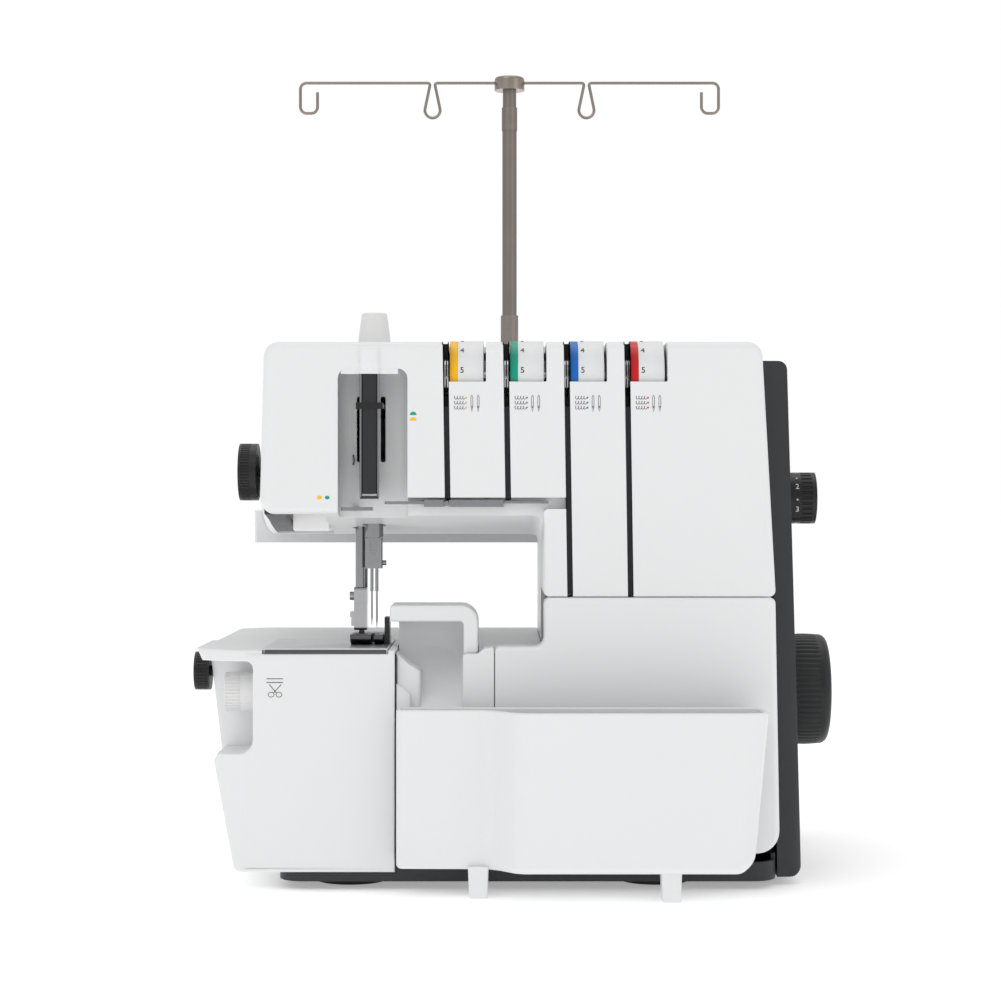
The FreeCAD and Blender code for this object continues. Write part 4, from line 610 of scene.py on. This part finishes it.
def makeFrontCover():
    cover = {"deep": 92.0, "drop": 12.5, "flare": 0.09, "slot": 3.1, "window": 23.3, "dialLow": 275.3,
             "bandTop": 212.6, "bandDeep": 8.0, "pocketDeep": 18.0, "pocketRound": 5.0}

    def bend(p):
        # the left side flares and the underside falls towards the back
        left = np.clip((-118 - p[:, 0]) / 12, 0, 1)
        low = np.clip((213 - p[:, 2]) / 9, 0, 1) * np.clip((p[:, 2] - 172) / 16, 0, 1) * (p[:, 0] < 14)
        p = p.copy()
        p[:, 2] -= cover["drop"] * p[:, 1] / cover["deep"] * low
        p[:, 0] -= cover["flare"] * p[:, 1] * left
        return p
    outline = [(-141.3, 204, 8, 3.2), (12.5, 204, 6, 2.0), (12.5, 159, 2.6, 0.9), (138.2, 159, 3.4, 3.0),
               (130.6, 297, 8, 4.5), (-138.8, 297, 8, 4.8)]
    body = slab(outline, 0, cover["deep"], bend=bend, steps=8, curve=6)
    tall = [(-99.1, 168, 0, 0.1), (-61.3, 168, 0, cover["pocketRound"]),
            (-61.3, 282.4, 5.4, cover["pocketRound"]), (-99.1, 282.4, 5.4, cover["pocketRound"])]
    cutters = [slab(tall, cover["pocketDeep"], -3, steps=6)]
    band = [(-75, 168, 0, 0.1), (12.5, 168, 0, 1.5), (12.5, 206.4, 2.5, 1.5), (24.45, 206.4, 0, 0.5),
            (24.45, cover["bandTop"], 0, 1.5), (-75, cover["bandTop"], 0, 1.5)]
    cutters.append(slab(band, cover["bandDeep"], -3))
    for i in range(4):
        low = 211 if i < 2 else 150
        edge = [(slotLeft(i, low), low, 0, 0), (slotLeft(i, low) + cover["slot"], low, 0, 0),
                (slotLeft(i, 300) + cover["slot"], 300, 0, 0), (slotLeft(i, 300), 300, 0, 0)]
        cutters.append(slab(edge, -3, 24))
        x = slotLeft(i, 278.6)
        window = [(x + 0.2, cover["dialLow"], 0.6, 0), (x + cover["window"], cover["dialLow"], 0.6, 0),
                  (x + cover["window"], 302, 0, 0), (x + 0.2, 302, 0, 0)]
        cutters.append(slab(window, -3, 45))
        well = [(x + 0.2, 257, 0, 0), (x + cover["window"], 257, 0, 0), (x + cover["window"], 276, 0, 0),
                (x + 0.2, 276, 0, 0)]
        cutters.append(slab(well, 2.2, 45))
    for x, d, r in ((-81.9, 50, 6.5), (-89.8, 62, 5.0)):
        cutters.append(lathe([(170, r), (232, r)], (x, d, 0), "z", 40))
    for side in (-1, 1):
        middle = -81.9 + side * 6.5
        cutters.append(blockShape(middle - 1.4, middle + 1.4, 14, 60, 232, 268, 1.0, 0.1))
    for x0, x1 in ((-139.7, -127.6), (-127.6, -107.0)):
        cutters.append(blockShape(x0, x1, 3.0, 88.5, 170, 206.5, 0.0, 0.1))
    # hollow behind the front wall
    cutters.append(blockShape(-136.0, 127.5, 20.6, 96, 207.5, 293.5))
    cutters.append(blockShape(15.0, 127.5, 20.6, 96, 162.0, 210.0))
    addPiece("front_cover_shell", [body], "white_plastic", replaced=("front_cover",),
             cutters=cutters, width=0.55)
    # soft dome over the guard: a ridge whose flanks die away, as a height over the front face
    across, up = np.meshgrid(np.linspace(-1, 1, 49), np.linspace(0, 1, 33), indexing="ij")
    x, z = -81.9 + across * 15.5, 279.5 + up * 15.5
    ridge = np.clip(1 - np.abs(across * 15.5 / 5.6) ** 4, 0, 1) ** 0.5
    flank = np.exp(-(across * 15.5 / 8.0) ** 2)
    fade = np.clip(1 - up ** 6, 0, 1) ** 0.5 * np.clip((1 - np.abs(across)) * 5, 0, 1)
    low = np.clip((z - 282.6) / 1.5, 0, 1)
    height = (2.3 * ridge * fade + 1.5 * flank * fade * low) - 0.35
    height = np.where((z < 282.4) & (np.abs(across * 15.5) > 5.7), -0.35, height)
    top = np.stack([x, -height, z], -1)
    addPiece("guard_dome", [sheetSolid(top, top + (0, 4.0, 0) + np.stack([0 * x, height, 0 * x], -1))],
             "white_plastic", angle=60)


def makeChannels():
    # dark lining of each thread slot: two walls and a floor, with a black upper part
    lining, upper = [], []
    for i in range(4):
        low = 212.0 if i < 2 else 160.0
        for top, bottom, depth, side in ((262.0, low, 7.4, lining), (297.0, 262.0, 20.0, upper)):
            x0, x1 = slotLeft(i, bottom), slotLeft(i, top)
            for a, b in ((-0.1, 0.12), (2.98, 3.2)):
                wall = [(x0 + a, bottom, 0, 0.02), (x0 + b, bottom, 0, 0.02),
                        (x1 + b, top, 0, 0.02), (x1 + a, top, 0, 0.02)]
                side.append(slab(wall, 1.0, depth + 1, curve=1))
            side.append(slab([(x0, bottom, 0, 0.02), (x0 + 3.1, bottom, 0, 0.02), (x1 + 3.1, top, 0, 0.02),
                              (x1, top, 0, 0.02)], depth, depth + 2.5, curve=1))
    addPiece("slot_lining", lining, "channel_plastic", replaced=("thread_channels",))
    addPiece("slot_lining_upper", upper, "black_plastic")


def makeLooperCover():
    outline = [(-14, 20, 2, 1.0), (140.4, 20, 12, 3.2), (138.0, 158.6, 1.2, 1.4), (12.5, 158.6, 3.5, 3.0),
               (12.5, 132, 5.0, 2.4), (-14, 132, 1.5, 1.0)]
    lugs = []
    for x in (10.0, 118.0):
        lugs.append(lathe([(x, 2.05), (x, 4.0), (x + 8, 4.0), (x + 8, 2.05)], (0, 6.5, 26), "x", 32))
    # the lower edge has no flange, so that the door can tip about its rod
    hollow = [blockShape(-11.5, 136.4, 2.5, 20, 33, 129.5), blockShape(15.0, 135.4, 2.5, 20, 128, 156.1),
              blockShape(-20, 136.4, 2.6, 20, 15, 34)]
    addPiece("looper_cover_door", [slab(outline, 0, 14)], "white_plastic", "front_door",
             ("looper_cover",), cutters=hollow)
    addPiece("looper_cover_lugs", lugs, "white_plastic", "front_door")


def makeFreeArm():
    arm = {"deep": 92.0, "setback": 21.0, "from": -147.0, "reach": 31.0}

    def bend(p):
        # the left end turns back: depth grows with the distance past a line, less so further back
        past = np.clip((arm["from"] - p[:, 0]) / arm["reach"], 0, 1.2)
        p = p.copy()
        p[:, 1] += arm["setback"] * past ** 1.6 * np.clip(1 - p[:, 1] / arm["deep"], 0, 1)
        return p
    near = [(-155.4, 9.9, 4, 1.5), (-68.2, 9.9, 0, 0.8), (-68.2, 130, 0, 1.4), (-178, 130, 0, 1.4),
            (-174.5, 123.5, 0, 1.0), (-145.0, 124.0, 4.0, 1.0), (-145.0, 74.0, 8.0, 1.0), (-165.2, 73.4, 0, 1.0),
            (-167.4, 69.0, 0, 1.5)]
    far = [(-155.4, 9.9, 0, 0.1), (-68.2, 9.9, 0, 0.1), (-68.2, 130, 0, 0.1), (-178, 130, 0, 0.1),
           (-173.6, 119.5, 0, 0.1), (-167.6, 71.5, 0, 0.1), (-167.3, 66, 0, 0.1)]
    shapes = []
    for part in (slab(near, 0, 46), slab(far, 44, arm["deep"])):
        points, faces = sliced(part, [arm["from"] - 3.0 * k for k in range(11)])
        shapes.append(orient(bend(points), faces))
    made = newObject("free_arm_shell", shapes[0], "white_plastic")
    other = newObject("far", shapes[1])
    change = made.modifiers.new("join", "BOOLEAN")
    change.object, change.operation, change.solver = other, "UNION", "EXACT"
    settle(made)
    bpy.data.objects.remove(other)
    carve(made, [blockShape(-140.0, -71.7, -4, 89.4, 127.9, 136, 0.0, 0.0),
                 blockShape(-142.3, -60, 2.5, 89.4, 12.5, 127.4, 0.0, 0.1),
                 blockShape(-137.5, -74.0, 3.0, 86.0, 120.0, 129.0, 0.0, 0.1)])
    soften(made, 0.4)
    dress(made, "machine", ("free_arm_cover",))


def makeChute():
    hood = [(-71.4, 145.0, 0, 1.4), (-31.2, 145.0, 2.0, 1.4), (-31.2, 127.7, 0, 1.4), (-23.2, 127.7, 1.0, 1.4),
            (-23.2, 154.0, 9.5, 1.6), (-71.4, 154.0, 0.5, 1.6)]
    shapes = [slab(hood, 9.0, 45)]
    # the slide: depth grows with height and is rounded into the right wall and the hood
    x, z = np.meshgrid(np.linspace(-67.6, -30.8, 41), np.linspace(30, 146, 59), indexing="ij")
    rise = np.clip((z - 92) / 38, 0, 1)
    depth = 3 + 39 * rise * rise * (3 - 2 * rise)
    for gap, radius in ((-31.2 - x, 11.0), (145.5 - z, 9.0)):
        reach = np.clip(radius - gap, 0, radius)
        fall = radius - np.sqrt(np.maximum(radius ** 2 - reach ** 2, 0))
        depth = depth - fall * np.clip(depth / 20, 0, 1)
    face = np.stack([x, depth, z], -1)
    shapes.append(sheetSolid(face, np.stack([x, np.full_like(x, 46.0), z], -1)))
    rib = [(-67.6, 92, 0, 1.5), (-54.6, 92, 0, 1.5), (-54.6, 118.5, 3.0, 1.5), (-60.5, 122.0, 6.0, 1.5),
           (-67.6, 128.0, 0, 1.5)]
    shapes.append(slab(rib, 5.0, 30))
    inner = [(-67.6, 92, 0, 1.2), (-59.6, 92, 0, 1.2), (-59.6, 105.5, 3.0, 1.2), (-63.5, 109.5, 4, 1.2),
             (-67.6, 111.5, 0, 1.2)]
    shapes.append(slab(inner, 2.2, 28))
    panel = [(-31.4, 30, 0, 0.6), (-14.4, 30, 0, 0.8), (-14.4, 131.6, 1.2, 1.2), (-19.6, 131.0, 2, 1.2),
             (-23.5, 127.9, 2, 1.2), (-31.4, 127.9, 0.6, 1.2)]
    shapes.append(slab(panel, 0.4, 20))
    addPiece("chute_hood", shapes, "white_plastic", replaced=("chute_guard",))


def makeCollector():
    tub = {"top": 99.7, "low": 15.0, "wall": 2.5, "rim": 1.15, "lean": 7.8}

    def bend(p):
        # the right end leans in towards the bottom
        right = np.clip((p[:, 0] - 92) / 34, 0, 1)
        p = p.copy()
        p[:, 0] -= tub["lean"] * (tub["top"] - p[:, 2]) / (tub["top"] - tub["low"]) * right
        return p
    plan = [(-66.6, -4, 2.5, 2.5), (-66.6, -22, 4, 2.5), (-17, -23.5, 14, 3.0), (-1, -42, 14, 4.5),
            (130.6, -42, 5, 11.0), (130.6, -4, 3, 3.0)]
    shapes = [slab(plan, tub["low"], tub["top"], "below", wall=tub["wall"], rim=tub["rim"], bend=bend,
                   steps=10, curve=6)]
    for x, near in ((-22.8, -26.5), (78.8, -38.5)):
        # a leg is a little narrower at its foot
        leg = [(x - 5.4, near, 1.5, 0.8), (x + 5.4, near, 1.5, 0.8), (x + 5.4, near + 14, 1.5, 0.8),
               (x - 5.4, near + 14, 1.5, 0.8)]

        def taper(p, x=x):
            p = p.copy()
            p[:, 0] = x + (p[:, 0] - x) * (0.9 + 0.12 * p[:, 2] / 16)
            return p
        shapes.append(slab(leg, 0.2, 17, "below", bend=taper))
    addPiece("waste_tub", shapes, "white_plastic", "collector", ("waste_collector",))


for make in (makeFrontCover, makeChannels, makeLooperCover, makeFreeArm, makeChute, makeCollector):
    make()
    print(make.__name__, "done")


# knobs, handwheel, dials and printed marks

def textShape(text, size, thick=0.1):
    # flat text as a mesh: across, up, and out of the face
    curve = bpy.data.curves.new("letters", "FONT")
    curve.body, curve.size, curve.extrude = text, size, thick
    curve.align_x, curve.align_y, curve.resolution_u = "CENTER", "CENTER", 3
    made = bpy.data.objects.new("letters", curve)
    bpy.context.scene.collection.objects.link(made)
    bpy.context.view_layer.update()
    mesh = bpy.data.meshes.new_from_object(made.evaluated_get(bpy.context.evaluated_depsgraph_get()))
    points = np.array([v.co[:] for v in mesh.vertices])
    faces = [tuple(p.vertices) for p in mesh.polygons]
    bpy.data.objects.remove(made)
    return points, faces


def wrapText(text, size, x, centre, radius, angle):
    # text laid round a drum that turns about X; the angle is counted up from the front
    points, faces = textShape(text, size)
    turn = np.radians(angle) + points[:, 1] / radius
    out = radius + 0.05 + points[:, 2]
    placed = np.stack([x + points[:, 0], centre[0] - out * np.cos(turn), centre[1] + out * np.sin(turn)], 1)
    return orient(placed, faces)


def makeHandwheel():
    wheel = {"x0": 155.6, "x1": 179.9, "r": 32.4, "back": 1.4, "crown": 0.6, "ribs": 60, "rib": 0.55}
    profile = [(wheel["x0"], 12.0), (wheel["x0"], 29.5)]
    back, crown = wheel["back"], wheel["crown"]
    profile += [(wheel["x0"] + back - back * math.cos(t), 29.5 + back * math.sin(t))
                for t in np.linspace(0, 1.57, 5)]
    profile += [(x, wheel["r"] - crown + crown * math.sin((x - 157) / 19 * math.pi))
                for x in np.linspace(158, 175, 18)]
    profile += [(175.3 + 4.6 * math.sin(t), 27.6 + 4.4 * math.cos(t)) for t in np.linspace(0.1, 1.57, 8)]
    profile += [(wheel["x1"], 21.0), (179.2, 19.5), (177.0, 18.5), (176.6, 10.5), (177.4, 9.6), (177.6, 6.2)]

    def ripple(turn, along, radius):
        grip = (along > 159) & (along < 174)
        return radius - grip * wheel["rib"] * np.abs(np.sin(turn * wheel["ribs"] / 2)) ** 6
    addPiece("wheel_rim", [lathe(profile, (0, 110, 100.4), "x", 360, ripple)], "wheel_plastic", "drive",
             ("handwheel",), angle=30)


def makeKnobs():
    for name, body, width in (("stitch_length_dial", "stitch_length", 0.35), ("pressure_knob", "pressure", 0.6),
                              ("differential_feed_dial", "differential_feed", 0.3),
                              ("knife_release_knob", "knife_release", 0.3),
                              ("cutting_width_dial", "cutting_width", 0.25)):
        softenNode(name, body, width)
    dial = {"x": 156.8, "depth": 70, "z": 212.4, "r": 14.6, "digit": 4.6, "dot": 9.0, "dotRise": 0.8}
    marks = [wrapText(t, dial["digit"], dial["x"], (dial["depth"], dial["z"]), dial["r"], a)
             for t, a in (("2", 26), ("3", -26), ("1", 78), ("4", -78))]
    marks += [wrapText(".", dial["dot"], dial["x"], (dial["depth"], dial["z"] + dial["dotRise"]), dial["r"], a)
              for a in (2, 54, -50)]
    addPiece("stitch_digits", marks, "knob_white", "stitch_length")


def makeDrums():
    drum = {"depth": 22.9, "z": 278.6, "r": 20.0, "digitX": 10.3, "digit": 4.7, "first": 8.6, "step": 36}
    for i, colour in enumerate(("yellow", "green", "blue", "red")):
        softenNode("tension_dial_" + colour, "tension_" + colour, 0.35)
        softenNode("tension_ring_" + colour, "tension_" + colour, 0.3)
        x = slotLeft(i, drum["z"]) + drum["digitX"]
        digits = [wrapText(str(d), drum["digit"], x, (drum["depth"], drum["z"]), drum["r"],
                           drum["first"] + (5 - d) * drum["step"]) for d in range(10)]
        addPiece("drum_digits_" + colour, digits, "black_plastic", "tension_" + colour)


def disc(x, z, wide, high, depth=0.0, proud=0.12, half=False):
    # a small printed spot, or its upper half, a hair proud of a face
    turn = np.linspace(0, math.pi if half else 2 * math.pi, 25)[:25 if half else 24]
    ring = np.stack([x + wide * np.cos(turn), 0 * turn, z + high * np.sin(turn)], 1)
    return orient(*stack([ring + (0, depth - proud, 0), ring + (0, depth + 0.15, 0)]))


def makeMarks():
    grey = []
    dots = {"ring_yellow": [], "ring_green": [], "ring_blue": [], "ring_red": []}
    for i, colour in enumerate(dots):
        left = slotLeft(i, 262)
        for row in range(3):
            # a row of overlocked loops: across at a steady pace, up and down twice as fast
            t = np.linspace(0, 1, 61)
            x = left + 5.6 + 6.0 * t + 0.42 * np.sin(8 * math.pi * t + 1.2)
            z = 266.6 - row * 2.7 + 0.85 * np.sin(8 * math.pi * t)
            grey.append(tube(np.stack([x, np.full(61, 0.0), z], 1), 0.16, 6))
            dots[colour].append(disc(left + 12.4, 266.6 - row * 2.7, 0.5, 0.5))
        for k in range(2):
            # a needle: long shaft, eye and point
            x = left + 15.4 + 3.4 * k
            path = [(x, 0, 268.0), (x + 0.5, 0, 267.0), (x + 0.5, 0, 261.5), (x, 0, 259.0), (x - 0.5, 0, 261.5),
                    (x - 0.5, 0, 267.0), (x, 0, 268.0)]
            grey.append(tube(path, 0.15, 6))
            grey.append(disc(x, 261.6, 0.22, 0.6))
    dots["ring_green"] += [disc(-58.2, 257.2, 1.8, 1.8, half=True), disc(-104.7, 212.6, 1.3, 1.0)]
    dots["ring_yellow"] += [disc(-58.2, 254.2, 1.8, 1.8, half=True), disc(-108.9, 212.6, 1.3, 1.0)]
    addPiece("stitch_pictograms", grey, "channel_plastic")
    for colour, shapes in dots.items():
        addPiece("thread_marks_" + colour[5:], shapes, colour)
    scissors = [tube(np.stack([-135.0 + 1.6 * np.cos(t) + dx, 0 * t, 106.0 + 1.3 * np.sin(t)], 1), 0.17, 6)
                for dx in (0.0, 4.2) for t in (np.linspace(0, 2 * math.pi, 25),)]
    scissors += [tube([(-133.8, 0, 106.8), (-129.6, 0, 111.5)], 0.2, 6),
                 tube([(-132.0, 0, 106.8), (-136.0, 0, 111.5)], 0.2, 6),
                 tube([(-137.5, 0, 114.6), (-128.6, 0, 114.6)], 0.2, 6),
                 tube([(-137.5, 0, 112.6), (-128.6, 0, 112.6)], 0.2, 6)]
    addPiece("width_pictogram", scissors, "black_plastic")


def makeTrim():
    # a dark steel strip along the needle plate's front edge: partly the plate's own dark edge, partly a painted
    # shadow of the gap under the plate
    edge = blockShape(-138.6, -72.6, -0.3, 0.7, 127.9, 130.3, 0.0, 0.2)
    addPiece("plate_edge_and_gap_shade", [edge], "foot_steel")
    low, high = (np.array(c) * 1000 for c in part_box("take_up_guard"))
    edges = []
    for x in (low[0] - shift + 0.35, high[0] - shift - 0.35):
        depth = low[1] - front - 0.15
        edges.append(tube([(x, depth, z) for z in np.linspace(low[2] + 1, high[2] - 1, 12)], 0.6, 10))
    addPiece("guard_edges", edges, "bright_chrome")


def makeSpring():
    # the spring is a softened copy that moves whole with the presser bar, with a mesh of its own
    spring = softenNode("presser_spring", "presser", 0.02)
    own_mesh(spring)


def makeSoftParts():
    for name, width in (("bed_cover", 0.8), ("side_casing", 2.2), ("base_tray", 1.2),
                        ("spool_stand", 1.2), ("lamp_insert", 0.8), ("take_up_guard", 0.25),
                        ("needle_plate", 0.3), ("rubber_feet", 0.8), ("power_inlet", 0.4)):
        softenNode(name, "machine", width)


for make in (makeHandwheel, makeKnobs, makeDrums, makeMarks, makeTrim, makeSpring, makeSoftParts):
    make()
    print(make.__name__, "done")


# floor, light and camera

def makeStudio():
    studio = {"camera": (-9.15, -1379.0, 211.0), "lens": 83.15, "floor": 40.0, "floorGlow": 0.33}
    mesh = bpy.data.meshes.new("floor")
    half = studio["floor"] / 2
    corners = [(-half, -half, 0), (half, -half, 0), (half, half, 0), (-half, half, 0)]
    mesh.from_pydata(corners, [], [(0, 1, 2, 3)])
    floor = bpy.data.objects.new("floor", mesh)
    bpy.context.scene.collection.objects.link(floor)
    made, tree, shader = startFinish("floorPale")
    tint = node(tree, "ShaderNodeTexNoise", in_Scale=3.0, in_Detail=2.0)
    link(tree, node(tree, "ShaderNodeTexCoord").outputs["Object"], tint.inputs["Vector"])
    pale = mixColour(tree, tint.outputs[0], (0.93, 0.93, 0.93), (0.96, 0.96, 0.96))
    link(tree, pale, shader.inputs["Base Color"])
    shader.inputs["Roughness"].default_value = 0.9
    shader.inputs["Emission Color"].default_value = (1.0, 1.0, 1.0, 1.0)
    shader.inputs["Emission Strength"].default_value = studio["floorGlow"]
    floor.data.materials.append(made)
    world = bpy.data.worlds.new("studio")
    bpy.context.scene.world = world
    world.use_nodes = True
    back = world.node_tree.nodes["Background"]
    back.inputs["Color"].default_value = (1.0, 1.0, 1.0, 1.0)
    back.inputs["Strength"].default_value = 0.74
    # the backdrop is plain white to the eye, and a little dimmer as a light
    bright = world.node_tree.nodes.new("ShaderNodeBackground")
    pick = world.node_tree.nodes.new("ShaderNodeMixShader")
    ray = world.node_tree.nodes.new("ShaderNodeLightPath")
    link(world.node_tree, ray.outputs["Is Camera Ray"], pick.inputs[0])
    link(world.node_tree, back.outputs[0], pick.inputs[1])
    link(world.node_tree, bright.outputs[0], pick.inputs[2])
    bright.inputs["Color"].default_value = (1.0, 1.0, 1.0, 1.0)
    link(world.node_tree, pick.outputs[0], world.node_tree.nodes["World Output"].inputs["Surface"])
    lamps = {
        "keyPanel": ((-0.9, -1.5, 1.7), (0.0, 0.0, 0.15), 1.4, 5.0),
        "fillPanel": ((1.5, -1.1, 0.9), (0.0, 0.0, 0.15), 1.2, 1.5),
        "topPanel": ((0.0, 0.3, 2.1), (0.0, 0.0, 0.1), 1.6, 7.0)}
    for name, (place, aim, size, power) in lamps.items():
        light = bpy.data.lights.new(name, "AREA")
        light.shape, light.size, light.energy = "SQUARE", size, power
        lamp = bpy.data.objects.new(name, light)
        lamp.location = place
        lamp.rotation_euler = Vector(np.array(aim) - np.array(place)).to_track_quat("-Z", "Y").to_euler()
        bpy.context.scene.collection.objects.link(lamp)
    camera = bpy.data.cameras.new("camera")
    camera.lens, camera.sensor_width = studio["lens"], 36.0
    camera.clip_start, camera.clip_end = 0.05, 20.0
    viewer = bpy.data.objects.new("camera", camera)
    viewer.location = [c / 1000 for c in studio["camera"]]
    viewer.rotation_euler = (math.pi / 2, 0.0, 0.0)
    bpy.context.scene.collection.objects.link(viewer)
    bpy.context.scene.camera = viewer
    bpy.context.scene.view_settings.view_transform = "Standard"


makeStudio()
print("studio made")
